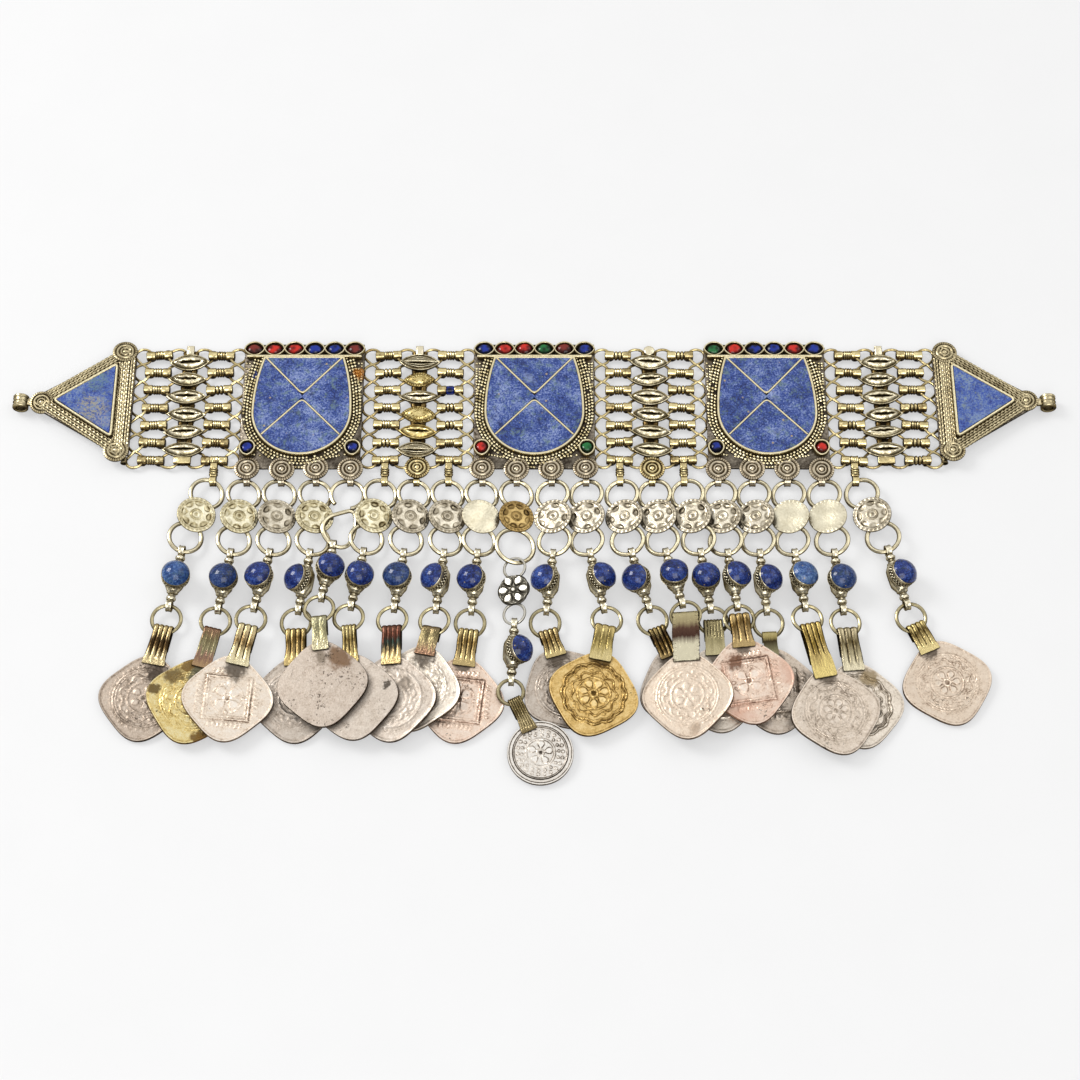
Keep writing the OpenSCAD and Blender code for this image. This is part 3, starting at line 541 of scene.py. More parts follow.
class Paint:
    """A material, with short calls for the nodes that the looks are built from."""

    def __init__(self, name):
        self.material = bpy.data.materials.new(name)
        self.material.use_nodes = True
        self.tree = self.material.node_tree
        self.shader = self.tree.nodes["Principled BSDF"]
        self.place = self.node("ShaderNodeTexCoord").outputs["Object"]

    def node(self, kind, settings=(), **values):
        made = self.tree.nodes.new(kind)
        for name, value in settings:
            setattr(made, name, value)
        for name, value in values.items():
            self.put(made.inputs[name.replace("_", " ")], value)
        return made

    def put(self, socket, value):
        if isinstance(value, bpy.types.NodeSocket):
            self.tree.links.new(value, socket)
        else:
            socket.default_value = value

    def set(self, **values):
        for name, value in values.items():
            self.put(self.shader.inputs[name.replace("_", " ")], value)

    def noise(self, scale, detail=3, rough=0.55, place=None):
        made = self.node("ShaderNodeTexNoise", Vector=place or self.place, Scale=scale, Detail=detail,
                         Roughness=rough)
        return made.outputs["Fac"]

    def cells(self, scale):
        made = self.node("ShaderNodeTexVoronoi", Vector=self.place, Scale=scale)
        return made.outputs["Distance"]

    def value(self, operation, a, b=0.0, clamp=False):
        made = self.node("ShaderNodeMath", [("operation", operation), ("use_clamp", clamp)])
        self.put(made.inputs[0], a)
        self.put(made.inputs[1], b)
        return made.outputs[0]

    def between(self, x, low, high, to_low=0.0, to_high=1.0):
        made = self.node("ShaderNodeMapRange", [("interpolation_type", "SMOOTHSTEP")], Value=x)
        for name, v in (("From Min", low), ("From Max", high), ("To Min", to_low), ("To Max", to_high)):
            made.inputs[name].default_value = v
        return made.outputs[0]

    def ramp(self, x, stops):
        made = self.node("ShaderNodeValToRGB", Fac=x)
        band = made.color_ramp.elements
        while len(band) < len(stops):
            band.new(0.5)
        for element, (at, code) in zip(band, stops):
            element.position = at
            element.color = linear(code)
        return made.outputs["Color"]

    def mix(self, x, a, b):
        made = self.node("ShaderNodeMix", [("data_type", "RGBA")])
        for socket, value in zip((made.inputs[0], made.inputs[6], made.inputs[7]), (x, a, b)):
            self.put(socket, linear(value) if isinstance(value, str) else value)
        return made.outputs[2]

    def painted(self, name):
        made = self.node("ShaderNodeAttribute", [("attribute_name", name)])
        return made.outputs["Vector"] if name == "local" else made.outputs["Fac"]

    def crevice(self, reach):
        """1 on open surfaces, falling to 0 in hollows narrower than reach."""
        # Ambient occlusion darkens hollows, as patina, and the places where parts lie close to each other and
        # to the floor, as painted shade
        made = self.node("ShaderNodeAmbientOcclusion", [("samples", 6)], Distance=reach * MM)
        return made.outputs["AO"]

    def swing(self, x, amount, middle=0.5):
        """A value moved to lie round 0 and scaled."""
        return self.value("MULTIPLY", self.value("SUBTRACT", x, middle), amount)

    def scaled(self, place, factors):
        made = self.node("ShaderNodeVectorMath", [("operation", "MULTIPLY")])
        self.put(made.inputs[0], place)
        made.inputs[1].default_value = factors
        return made.outputs["Vector"]

    def wear_and_shade(self, reach, share, marks):
        """From 0 for dark, dirty metal to 1 for metal worn clean: the painted value with its painted shade,
        darker in hollows by ambient occlusion, as patina and painted shade, with marks added.
        """
        open_face = self.value("ADD", self.value("MULTIPLY", self.crevice(reach), share), 1 - share)
        bare = self.value("MULTIPLY", self.painted("bare"), open_face)
        return self.value("ADD", bare, marks, clamp=True)

    def stained(self, colour, place, stains, unit=1.0):
        """Spots with ragged edges. Each stain is (x, y, radius, colour) in millimetres."""
        if not stains:
            return colour
        ragged = self.swing(self.noise(330, 5, 0.7), 7.0 * unit)
        flat = self.scaled(place, (1, 1, 0))
        for x, y, radius, code in stains:
            spot = self.node("ShaderNodeVectorMath", [("operation", "DISTANCE")])
            self.put(spot.inputs[0], flat)
            spot.inputs[1].default_value = (x * unit, y * unit, 0)
            near = self.value("ADD", spot.outputs["Value"], ragged)
            inside = self.between(near, radius * 0.55 * unit, radius * 1.15 * unit, 0.88, 0.0)
            colour = self.mix(inside, colour, code)
        return colour

    def bumps(self, height, depth):
        made = self.node("ShaderNodeBump", Height=height, Strength=1.0, Distance=depth * MM)
        self.put(self.shader.inputs["Normal"], made.outputs["Normal"])


def tones(codes, worn=0.6, dull=0.3):
    """The stops of a metal's colours: dirty metal and painted shade at 0, dull and worn metal between, metal
    worn clean at 1.
    """
    return list(zip((0.0, dull, worn, 1.0), codes.split()))


METAL_SCALE = 260


def worn_metal(name, stops, rough=(0.55, 0.28), mottle=0.35, bump=0.05, reach=1.6, crevice=0.75,
               rim="5E5340", stains=()):
    """Old metal: bright where it is worn, dark in its hollows and in its painted shade. stops run from dirty
    metal and painted shade to metal worn clean.
    """
    p = Paint(name)
    blotch = p.swing(p.noise(METAL_SCALE, 5, 0.62), mottle * 2)
    speckle = p.swing(p.noise(1500, 4, 0.7), mottle * 1.6)
    wear_and_shade = p.wear_and_shade(reach, crevice, p.value("ADD", blotch, speckle))
    colour = p.stained(p.ramp(wear_and_shade, stops), p.place, stains, MM)
    p.set(Base_Color=colour, Roughness=p.between(wear_and_shade, 0.1, 0.9, *rough),
          Metallic=p.between(wear_and_shade, 0.05, 0.45, 0.35, 1.0), Specular_Tint=linear(rim))
    p.bumps(p.value("ADD", p.noise(METAL_SCALE * 5, 4), p.noise(METAL_SCALE * 1.3, 3)), bump)
    return p.material


def coin_paint(name, stops, stains, pits=0.0, rough=(0.55, 0.33), tint=None):
    """A struck coin. stains are (x, y, radius, colour) in the coin's millimetres, Y towards its strap."""
    p = Paint(name)
    darkening = p.swing(p.noise(420, 6, 0.68), 0.8)
    speckle = p.swing(p.noise(1900, 4, 0.75), 0.9)
    wear_and_shade = p.wear_and_shade(0.9, 0.45, p.value("ADD", darkening, speckle))
    colour = p.ramp(wear_and_shade, stops)
    if tint:
        colour = p.mix(p.between(p.noise(70, 3), 0.42, 0.66, 0, 0.7), colour, tint)
    colour = p.stained(colour, p.painted("local"), stains)
    if pits:
        where = p.between(p.noise(190, 3, 0.6), 0.62 - pits * 0.2, 0.7 - pits * 0.16)
        pitted = p.value("MULTIPLY", p.between(p.noise(1250, 3, 0.65), 0.57, 0.64, 0, 0.85), where)
        colour = p.mix(pitted, colour, "3A322A")
    p.set(Base_Color=colour, Roughness=p.between(wear_and_shade, 0.1, 0.9, *rough), Metallic=0.9,
          Specular_Tint=linear("A09484"))
    p.bumps(p.value("ADD", p.noise(2600, 4), p.noise(420, 5)), 0.045)
    return p.material


def strap_paint(name, bands, streaks):
    """A folded brass strap. bands run from its fold, 0, to its lower end, 1, as (place, bare colour)."""
    p = Paint(name)
    place = p.painted("local")
    local = p.node("ShaderNodeSeparateXYZ", Vector=place)
    streak = p.swing(p.noise(1.0, 4, 0.6, p.scaled(place, (4.5, 1.1, 3.7))), streaks)
    bright = p.ramp(p.value("ADD", local.outputs["Y"], streak), bands)
    wear_and_shade = p.wear_and_shade(0.8, 0.6, p.swing(p.noise(900, 5, 0.7), 0.9))
    p.set(Base_Color=p.mix(p.between(wear_and_shade, 0.2, 0.72), "2A1E10", bright),
          Roughness=p.between(wear_and_shade, 0.1, 0.9, 0.5, 0.24), Metallic=0.95, Specular_Tint=linear("6E5E3C"))
    p.bumps(p.value("ADD", p.noise(1800, 4), p.noise(700, 2)), 0.03 + 0.12 * streaks)
    return p.material


def lapis_paint(name, deep, mid, pale, gloss=0.3, pale_share=0.5, scale=1.0, veins="5F7470",
                patches=()):
    """Polished lapis: fine grains of many blues, grey-green veins, pale clouds and a few brassy specks.

    patches are (x, y, radius, colour) in millimetres.
    """
    p = Paint(name)
    cloud = p.noise(130 * scale, 6, 0.68)
    fleck = p.noise(1700, 4, 0.8)
    tone = p.value("ADD", p.value("MULTIPLY", cloud, 0.42), p.value("MULTIPLY", fleck, 0.58))
    blue = p.ramp(tone, [(0.4, deep), (0.5, mid), (0.6, pale)])
    vein = p.between(p.noise(420 * scale, 6, 0.75), 0.5, 0.66, 0, 0.75)
    blue = p.mix(vein, blue, veins)
    haze = p.noise(85 * scale, 5, 0.65)
    haze = p.between(haze, 0.68 - 0.16 * pale_share, 0.78 - 0.1 * pale_share, 0, 0.6)
    blue = p.mix(haze, blue, pale)
    dark = p.between(p.noise(230 * scale, 5, 0.75), 0.3, 0.47, 0.75, 0)
    blue = p.mix(dark, blue, deep)
    patched = p.stained(blue, p.place, patches, MM)
    blue = p.mix(p.between(p.noise(1100, 5, 0.8), 0.44, 0.56), blue, patched)
    for size, code in ((210, "B9A268"), (370, "8A8F86")):
        speck = p.between(p.cells(size * scale), 0.0, 0.11, 0.85, 0.0)
        blue = p.mix(speck, blue, code)
    p.set(Base_Color=blue, Roughness=p.between(p.noise(600, 4), 0.3, 0.7, gloss * 0.8, gloss * 1.3),
          Specular_IOR_Level=0.4)
    p.bumps(p.noise(1500, 4), 0.02)
    return p.material


def glass_paint(name, edge, body, glint):
    """Cut glass over foil: painted dark at the girdle as shade, with a painted glow, the reflection of the
    foil, in the middle, and spots of painted glint.
    """
    p = Paint(name)
    glow = p.value("ADD", p.painted("bare"), p.swing(p.cells(620), 0.9, 0.35), clamp=True)
    p.set(Base_Color=p.ramp(glow, [(0.0, edge), (0.6, body), (1.0, glint)]), Roughness=0.08,
          Specular_IOR_Level=0.3)
    return p.material


def floor_paint():
    """A pale table with some light of its own, so that shadows on it stay soft."""
    p = Paint("floor")
    p.set(Base_Color=p.mix(p.noise(40, 3), "9D9D9D", "A1A1A1"), Roughness=0.7,
          Emission_Color=(1, 1, 1, 1), Emission_Strength=0.45)
    return p.material


RUST = (-53.6, 60.6, 2.0, "B4762C")
BLUE_CHIP = (-84.4, 60.4, 0.9, "2E4080")
SILVER = worn_metal("old_silver", tones("120D08 483C2C 8C7E66 D2C5AB"), mottle=0.4, reach=0.8)
END_SILVER = worn_metal("end_silver", tones("120D08 463A26 877A5C D0C29C"), mottle=0.45, reach=0.7)
LEAF_SILVER = worn_metal("leaf_silver", tones("120C06 463B26 978A68 F2E7C8", 0.62),
                         rough=(0.52, 0.26), mottle=0.5, reach=1.0, crevice=0.9, bump=0.12)
BEAD_SILVER = worn_metal("bead_silver", tones("1A140C 5E543E A89C7E EAE1C6"),
                         mottle=0.55, reach=0.8, bump=0.09)
PLATE_SILVER = worn_metal("plate_silver", tones("0E0B08 3A332B 726A5E A69C8C", 0.7, 0.35),
                          mottle=0.7, crevice=0.8, reach=2.2, stains=[RUST, BLUE_CHIP])
GRAIN_SILVER = worn_metal("grain_silver", tones("1C150C 6A5C3E BFAF82 FAEEC4", 0.65),
                          mottle=0.45, reach=0.5, crevice=0.7, stains=[RUST, BLUE_CHIP])
YELLOW = worn_metal("yellow_silver", tones("120C05 3A2C16 7E683E EAD8A2", 0.62),
                    rough=(0.5, 0.23), mottle=0.5, reach=1.3, crevice=0.9)
GILT_SILVER = worn_metal("gilt_silver", tones("160F06 5A4826 B39A5C F6E4A4"),
                         mottle=0.55, reach=1.2, crevice=0.85)
WIRE = worn_metal("lacing_wire", tones("1A1208 46351B 866F45 D8C692", 0.65), mottle=0.4, rim="3A301C")
RING_BRASS = worn_metal("ring_brass", tones("1A130A 554832 9A8C6C DED3B2", 0.65), mottle=0.4, rim="3E3420")
COIN_RING_BRASS = worn_metal("coin_ring_brass", tones("1A130A 463B28 827553 BEB28C", 0.65),
                             mottle=0.4, rim="3E3420")
CLOISON = worn_metal("cloison_brass", tones("2A200E 806C46 CCBB8C F4E8C0", 0.7, 0.35),
                     mottle=0.3, reach=0.8)
BRIGHT = worn_metal("bright_silver", tones("1C1914 5A564C A09B8E E0DCD0", 0.65), mottle=0.35, reach=0.8)
END_PATCHES = [(-132.4, 47.6, 5.2, "8E8A78"), (-129.4, 44.0, 3.0, "7C8090"), (-131.8, 57.0, 3.4, "56707C"),
               (133.5, 45.5, 2.6, "6A7DA6")]
END_LAPIS = lapis_paint("end_lapis", "16246A", "34509A", "74869E", 0.28, 0.5, 1.5, "727F76", END_PATCHES)
LAPIS = lapis_paint("lapis", "0F1A48", "2A4388", "8492B8", pale_share=0.35)
CAB_BLUES = [
    lapis_paint("cabochon_deep", "050A26", "142566", "3F5AA0", 0.09, 0.25, 1.6, veins="22324C"),
    lapis_paint("cabochon_pale", "122A56", "2C4C84", "7490B8", 0.1, 0.7, 1.4, veins="466276"),
    lapis_paint("cabochon_slate", "0A142A", "1E3468", "4A5E88", 0.1, 0.5, 1.6, veins="2A3C42"),
]
GLASS = {
    "red": glass_paint("glass_red", "100202", "560C0A", "B8281E"),
    "garnet": glass_paint("glass_garnet", "100404", "36100D", "6E2620"),
    "blue": glass_paint("glass_blue", "010206", "050828", "182C84"),
    "green": glass_paint("glass_green", "020704", "07240F", "1E6434"),
}

# The plaques


def shield(g):
    """The outline of the stone shield, grown by g, from its upper left corner round to the upper right."""
    a = np.radians(np.linspace(SIDE_A, 0, 7))[:-1]
    x, y = SHIELD_R - SIDE_R + (SIDE_R + g) * np.cos(a), SHIELD_Y + (SIDE_R + g) * np.sin(a)
    t = np.radians(np.linspace(180, 360, 37))
    bowl = np.stack([(SHIELD_R + g) * np.cos(t), SHIELD_Y + (SHIELD_R + g) * np.sin(t)], -1)
    return np.vstack([np.stack([-x, y], -1), bowl, np.stack([x, y], -1)[::-1]])


# How far from its tip a parting wire starts to bend
VEE_BEND = 1.7


def vee(tip, end):
    """A bent parting wire from its left end over its tip to its right end."""
    left, right, tip = np.array([-end[0], end[1]]), np.array(end), np.array([0, tip])
    near = [tip + (q - tip) * VEE_BEND / np.linalg.norm(q - tip) for q in (left, right)]
    t = np.linspace(0, 1, 7)[:, None]
    bend = (1 - t) ** 2 * near[0] + 2 * t * (1 - t) * tip + t ** 2 * near[1]
    return np.vstack([left, bend, right])


def boss(at, r, piece):
    """A round boss stamped with two rings round a dot, its rim milled."""
    # Rows: radius share, height and how bright it is painted. The grooves are painted dark, as patina and
    # painted shade, and every other point of the milled rim darker, as painted shade in its notches
    rows = [(0.97, 0, 0.5), (1.0, 0.35, 0.7), (0.98, 0.7, 0.95), (0.9, 0.82, 1.05), (0.8, 0.84, 0.85),
            (0.75, 0.68, 0.2), (0.71, 0.78, 0.75), (0.65, 0.98, 1.05), (0.56, 0.98, 1.05), (0.5, 0.8, 0.6),
            (0.46, 0.66, 0.2), (0.42, 0.8, 0.75), (0.36, 1.02, 1.05), (0.28, 1.0, 1.0), (0.23, 0.8, 0.3),
            (0.17, 0.92, 0.8), (0.1, 1.12, 1.05), (0.04, 1.16, 1.05)]
    sides = 60
    mill = np.cos(np.arange(sides) * math.pi)
    height = PLATE_TOP - 0.3 + rng.normal(0, 0.05)
    points, faces = revolve([(q * r, height + z) for q, z, _ in rows], sides)
    milled = np.array([2 <= k <= 4 for k in range(len(rows))])[:, None]
    bare = np.array([row[2] for row in rows])[:, None] - 0.28 * (1 - mill) * milled
    points[:, 2] += 0.05 * (mill * milled).ravel()
    tilt = turn("x", rng.normal(0, 3)) @ turn("y", rng.normal(0, 3))
    piece.add((points, faces), move(at[0], at[1], 0) @ tilt, np.clip(bare.ravel(), 0.1, 1.1))


def hanger(x, piece):
    """The loop under a boss that holds a drop's first ring."""
    piece.add(pipe(HANGER_R, HANGER_BORE, HANGER_LEN, 24, 0.08), move(x, *HANGER) @ ALONG_X)
    y, z = HANGER[0] + HANGER_R, HANGER[1]
    piece.add(slab(block(0.9, y - 0.4, y + 1.6), z, PLATE_TOP), move(x, 0, 0))


def edge_tubes(x, piece):
    for k in range(ROWS):
        piece.add(pipe(1.1, TUBE_BORE, 1.8), move(x, row_y(k), LACE_Z) @ ALONG_Y, 0.6)


def grains(path, piece, at, size, step, z, missing=0.03):
    for x, y in spaced(path, step):
        if rng.random() > missing:
            r = size * rng.uniform(0.88, 1.08)
            piece.add(grain(r), at @ move(x + rng.normal(0, 0.03), y + rng.normal(0, 0.03), z),
                      rng.uniform(0.7, 1.15))


def weave(x0, x1, y, half, count, up):
    """The path of a strip that swings from one side of a row of stones to the other."""
    x = np.linspace(x0, x1, count * 14 + 1)
    swing = np.cos((x - x0) / (x1 - x0) * count * math.pi - math.pi / 2)
    wide = np.sign(swing) * np.abs(swing) ** 0.62
    return np.stack([x, y + half * wide * up, np.zeros_like(x)], -1)


STONES = [
    ["garnet", "red", "red", "blue", "blue", "garnet", "blue", "blue"],
    ["blue", "red", "red", "green", "garnet", "blue", "red", "green"],
    ["green", "red", "blue", "blue", "red", "blue", "blue", "red"],
]
STONE_PIECES = {tint: Piece() for tint in GLASS}


def cut_stone(rx, ry, low):
    """An oval cut stone with a girdle, two rows of facets and a table."""
    rows = [(1.0, 0.0), (1.0, 0.55), (0.9, 0.85), (0.72, 1.2), (0.5, 1.4)]
    facets = 12
    # Painted dark at the girdle and brighter towards the table: painted shade and the painted reflection of
    # the foil
    bare = np.repeat([0.0, 0.0, 0.12, 0.45, 0.75], facets)
    return stack([at_height(oval(rx * s, ry * s, facets), low + z) for s, z in rows]), bare


def plaque(name, p):
    x0 = (p - 1) * PLAQUE_PITCH
    at = move(x0, 0, 0)
    half = PLAQUE_W / 2
    plate, silver, grain_piece, strips = Piece(), Piece(), Piece(), Piece()
    outline = spaced(block(half, PLAQUE_LOW, 71.2, half + 0.1), 3.5, closed=True)
    outline += rng.normal(0, 0.06, outline.shape)
    plate.add(slab(outline, PLATE_Z, PLATE_TOP, 0.2), at, 0.6)

    top = PLATE_TOP - 0.1
    lift = move(x0, 0, top)
    strips.add(sweep(shield(0.3), strip_section(0.72, BEZEL_H), closed=True), lift)
    for tip, end, h in ((52.8, (11.69, 65.75), 1.58), (51.2, (11.68, 38.89), 1.54)):
        strips.add(sweep(vee(tip, end), strip_section(0.64, h), closed=False), lift)
    bar = [[-17.4, SHIELD_TOP + 0.62], [0, SHIELD_TOP + 0.66], [17.4, SHIELD_TOP + 0.6]]
    strips.add(sweep(spaced(bar, 4), strip_section(0.8, BEZEL_H + 0.05, 0.25)), lift)
    ends = 3 * STONE_PITCH
    for up in (1, -1):
        path = weave(-ends, ends, STONE_Y, 2.25, 6, up)
        path[:, 2] = 0.1 * up * np.sin((path[:, 0] + ends) / STONE_PITCH * math.pi)
        strips.add(sweep(path, strip_section(0.42, BEZEL_H - 0.1)), lift)
    for s in (-1, 1):
        drop = oval(LOW_STONE_R + 0.35, LOW_STONE_R + 0.35, 28, (s * LOW_STONE[0], LOW_STONE[1]))
        lower = drop[:, 1] < LOW_STONE[1] - 1.2
        drop[lower, 1] -= 0.4 * (LOW_STONE[1] - 1.2 - drop[lower, 1])
        strips.add(sweep(drop, strip_section(0.5, BEZEL_H - 0.1), closed=True), lift)

    # The grains lie in rows on dark solder, worn thin towards the top corners
    for g in (1.25, 2.2, 3.15):
        path = shield(g)
        plate.add(sweep(path, strip_section(0.93, 0.36, 0.15)), lift, 0.45)
        grains(path, grain_piece, at, 0.47, 1.12, top + 0.32)
    for s in (-1, 1):
        for x, y in ((17.5, 52.5), (16.6, 57.5)):
            grains([[s * x, 64.3], [s * x, y]], grain_piece, at, 0.4, 0.92, PLATE_TOP, 0.2)
        grains([[s * 15.2, 33], [s * 8.4, 31.6]], grain_piece, at, 0.4, 0.92, PLATE_TOP, 0.3)
        edge_tubes(x0 + s * EDGE_TUBE_X, silver)
        for x in (BOSS_OUT_X, BOSS_IN_X):
            boss((x0 + s * x, BOSS_Y), BOSS_R, silver)
            hanger(x0 + s * x, silver)
    sill = [[-5.4, 28.6], [0, 28.35], [5.4, 28.6]]
    grains(sill, grain_piece, at, 0.4, 0.92, PLATE_TOP, 0.1)

    for k, tint in enumerate(STONES[p]):
        if k < 6:
            shape, bare = cut_stone(2.45, 1.9, top + 0.15)
            spot = ((k - 2.5) * STONE_PITCH, STONE_Y)
        else:
            shape, bare = cut_stone(LOW_STONE_R, LOW_STONE_R, top + 0.15)
            spot = ((-1 if k == 6 else 1) * LOW_STONE[0], LOW_STONE[1])
        tilt = turn("x", rng.normal(0, 1.5)) @ turn("y", rng.normal(0, 1.5))
        STONE_PIECES[tint].add(shape, move(x0 + spot[0], spot[1], 0) @ tilt, bare)

    plate.make(name + "_plate", PLATE_SILVER, "old_silver", name)
    silver.make(name + "_bosses", SILVER, "old_silver", name)
    grain_piece.make(name + "_grains", GRAIN_SILVER, "old_silver", name)
    strips.make(name + "_strips", CLOISON, "old_silver", name)


# The end pieces


def triangle(g, round_by=0.0):
    """The lapis triangle's outline, grown by g."""
    mid = LAPIS_CORNERS.mean(0)
    corners = mid + (LAPIS_CORNERS - mid) * (1 + g / 6.6)
    if not round_by:
        return corners[::-1]
    rounded = []
    for k in (2, 1, 0):
        here, before, after = corners[k], corners[(k + 1) % 3], corners[k - 1]
        p, q = (here + (v - here) * round_by / np.linalg.norm(v - here) for v in (before, after))
        rounded += [(1 - t) ** 2 * p + 2 * t * (1 - t) * here + t * t * q for t in (0, 0.33, 0.67, 1)]
    return np.array(rounded)


def end_piece(name, flip):
    at = (flipped_x() if flip else np.eye(4)) @ move(0, END_Y, 0)
    lift = at @ move(0, 0, PLATE_TOP - 0.1)
    plate, silver, strips = Piece(), Piece(), Piece()
    outline = [[END_EDGE_X, -END_HALF_H - 1.5], [END_EDGE_X + 4, -END_HALF_H - 1], [TIP_BOSS_X + 2, -2],
               [TIP_BOSS_X + 2, 2], [END_EDGE_X + 4, END_HALF_H + 1], [END_EDGE_X, END_HALF_H - 1]]
    plate.add(slab(spaced(outline, 3, closed=True), PLATE_Z, PLATE_TOP, 0.2), at, 0.7)
    strips.add(sweep(triangle(0.36, 1.5), strip_section(0.84, BEZEL_H, 0.2), closed=True), lift)
    for k, g in enumerate((1.2, 1.95, 2.7, 3.45, 4.15)):
        path = spaced(triangle(g, 1.5), 0.4, closed=True)
        twisted = rope(at_height(path, 0.3), 0.4, 1.5, closed=True, way=(-1) ** k)
        silver.add(twisted, lift, rng.uniform(0.75, 1.0))
    for k, x in enumerate((1.4, 0.65)):
        path = [[END_EDGE_X + x, -END_HALF_H + 2, 0.3], [END_EDGE_X + x, END_HALF_H - 2, 0.3]]
        silver.add(rope(path, 0.4, 1.5, way=(-1) ** (k + 1)), lift, 0.85)
    low = Piece()
    boss((TIP_BOSS_X, 0), 3.6, low)
    for s in (-1, 1):
        boss((SIDE_BOSS_X, s * END_HALF_H), BOSS_R, low)
    for points, bare, local in zip(low.points, low.bare, low.local):
        silver.add((points, []), at, bare, local)
    silver.faces.extend([tuple(i + silver.count - low.count for i in f) for f in low.faces])
    silver.spans.extend(low.spans)
    silver.add(pipe(END_TUBE_R, END_BORE_R, 4, 28, 0.2), at @ move(END_TUBE_X, 0, END_TUBE_R) @ ALONG_Y)
    for s in (-1.2, 0, 1.2):
        silver.add(ring(END_TUBE_R - 0.2, 0.2, 28), at @ move(END_TUBE_X, s, END_TUBE_R) @ ALONG_Y)
    neck = [[TIP_BOSS_X + 1.5, -1.3], [END_TUBE_X - 1.4, -1.1], [END_TUBE_X - 1.4, 1.1],
            [TIP_BOSS_X + 1.5, 1.3]]
    silver.add(slab(neck, PLATE_Z, PLATE_TOP), at)
    side = -1 if flip else 1
    edge_tubes(side * (END_EDGE_X + 1.4), silver)
    plate.make(name + "_plate", PLATE_SILVER, "old_silver", name)
    silver.make(name + "_ridges", END_SILVER, "old_silver", name)
    strips.make(name + "_bezel", CLOISON, "old_silver", name)


# The laced panels

HANGERS = [(1,), (-1, 1), (-1, 1), (-1,)]


def panel_mid(p):
    return (2 * p - 3) * PANEL_X


DRUM = [(0.9, 1.2), (1.3, 1.24), (1.43, 1.42), (1.44, 1.8), (1.38, 2.2), (1.37, 2.7), (1.4, 3.2), (1.45, 3.5),
        (1.45, 3.8), (1.32, 3.95), (0.85, 4.0)]


def barrel(at, piece, wraps):
    """A barrel: a drum at each end, drawn over the tubes for the lacing, and a waist wound with strip."""
    axis = at @ move(0, 0, 0.22)
    for s in (-1, 1):
        piece.add(pipe(1.1, TUBE_BORE, TUBE_LEN, 10), at @ move(s * BARREL_TUBE_X, 0, -0.1) @ ALONG_Y, 0.5)
        shade = rng.uniform(0.8, 1.12)
        lie = axis @ move(0, rng.normal(0, 0.07), 0) @ ALONG_X
        piece.add(revolve([(r, s * x) for r, x in DRUM], 16), lie, shade)
    # The waist's core, seen in the gaps between the wraps, is painted dark: painted shade
    piece.add(revolve([(1.0, -1.3), (1.0, 1.3)], 14), axis @ ALONG_X, 0.3)
    thick = 1.12 / wraps if wraps else 0
    shade = rng.uniform(0.85, 1.12)
    for k in range(wraps):
        x = (k - (wraps - 1) / 2) * 2.24 / wraps
        wound = ring(1.45 - thick, thick, 20)
        piece.add(wound, axis @ move(x, 0, 0) @ ALONG_X, shade * rng.uniform(0.85, 1.1))


def strip_hanger(x, piece):
    """A folded strip over the lowest barrel, with the loop that holds a drop."""
    low = row_y(ROWS - 1)
    piece.add(pipe(1.52, 1.0, 2.2, 20, 0.15), move(x, low, LACE_Z + 0.22) @ ALONG_X)
    y0, y1 = HANGER[0] + HANGER_R - 0.3, low - 1.0
    web = slab(block(1.0, y0, y1, 1.1), HANGER[1] - 0.5, HANGER[1] + 0.8, 0.3)
    piece.add(web, move(x, 0, 0))
    for k in range(3):
        piece.add(ring(1.0, 0.36, 14), move(x, y0 + 1 + k * 0.8, HANGER[1]) @ ALONG_Y, 1.05)
    piece.add(pipe(HANGER_R, HANGER_BORE, HANGER_LEN, 24, 0.08), move(x, *HANGER) @ ALONG_X)


# The panel, side and row of a barrel whose waist holds a blue bit
BLUE_BARREL = (1, 1, 2)


def barrels(p):
    piece = Piece()
    for s in (-1, 1):
        for k in range(ROWS):
            sway = turn("z", rng.normal(0, 2.2)) @ turn("x", rng.normal(0, 3))
            at = move(panel_mid(p) + s * BARREL_X, row_y(k) + rng.normal(0, 0.08), LACE_Z) @ sway
            if (p, s, k) == BLUE_BARREL:
                barrel(at, piece, 0)
                bit = Piece()
                bit.add(revolve([(1.0, -1.25), (1.38, -1.15), (1.42, -0.3), (1.4, 0.9), (1.1, 1.2)], 12),
                        at @ move(0, 0, 0.2) @ ALONG_X, 0.6)
                bit.make("panel_2_blue_bit", GLASS["blue"], "old_silver", "panel_2_barrels", side_wear_and_shade=0)
            else:
                barrel(at, piece, rng.choice((2, 3, 3, 4)))
    for s in HANGERS[p]:
        strip_hanger(panel_mid(p) + s * BARREL_X, piece)
    piece.make(f"panel_{p + 1}_barrel_rows", YELLOW, "old_silver", f"panel_{p + 1}_barrels", side_wear_and_shade=0.85)


# The points along each side of a leaf ornament
LEAF_STEPS = 14


def leaf(length, w):
    """The pointed outline of a leaf ornament."""
    r = (length ** 2 + w ** 2) / (4 * w)
    reach = math.asin(length / 2 / r)
    a = np.linspace(-reach, reach, LEAF_STEPS)
    low = np.stack([r * np.sin(a), r - w / 2 - r * np.cos(a)], -1)
    return np.vstack([low[:-1], (-low)[:-1]])


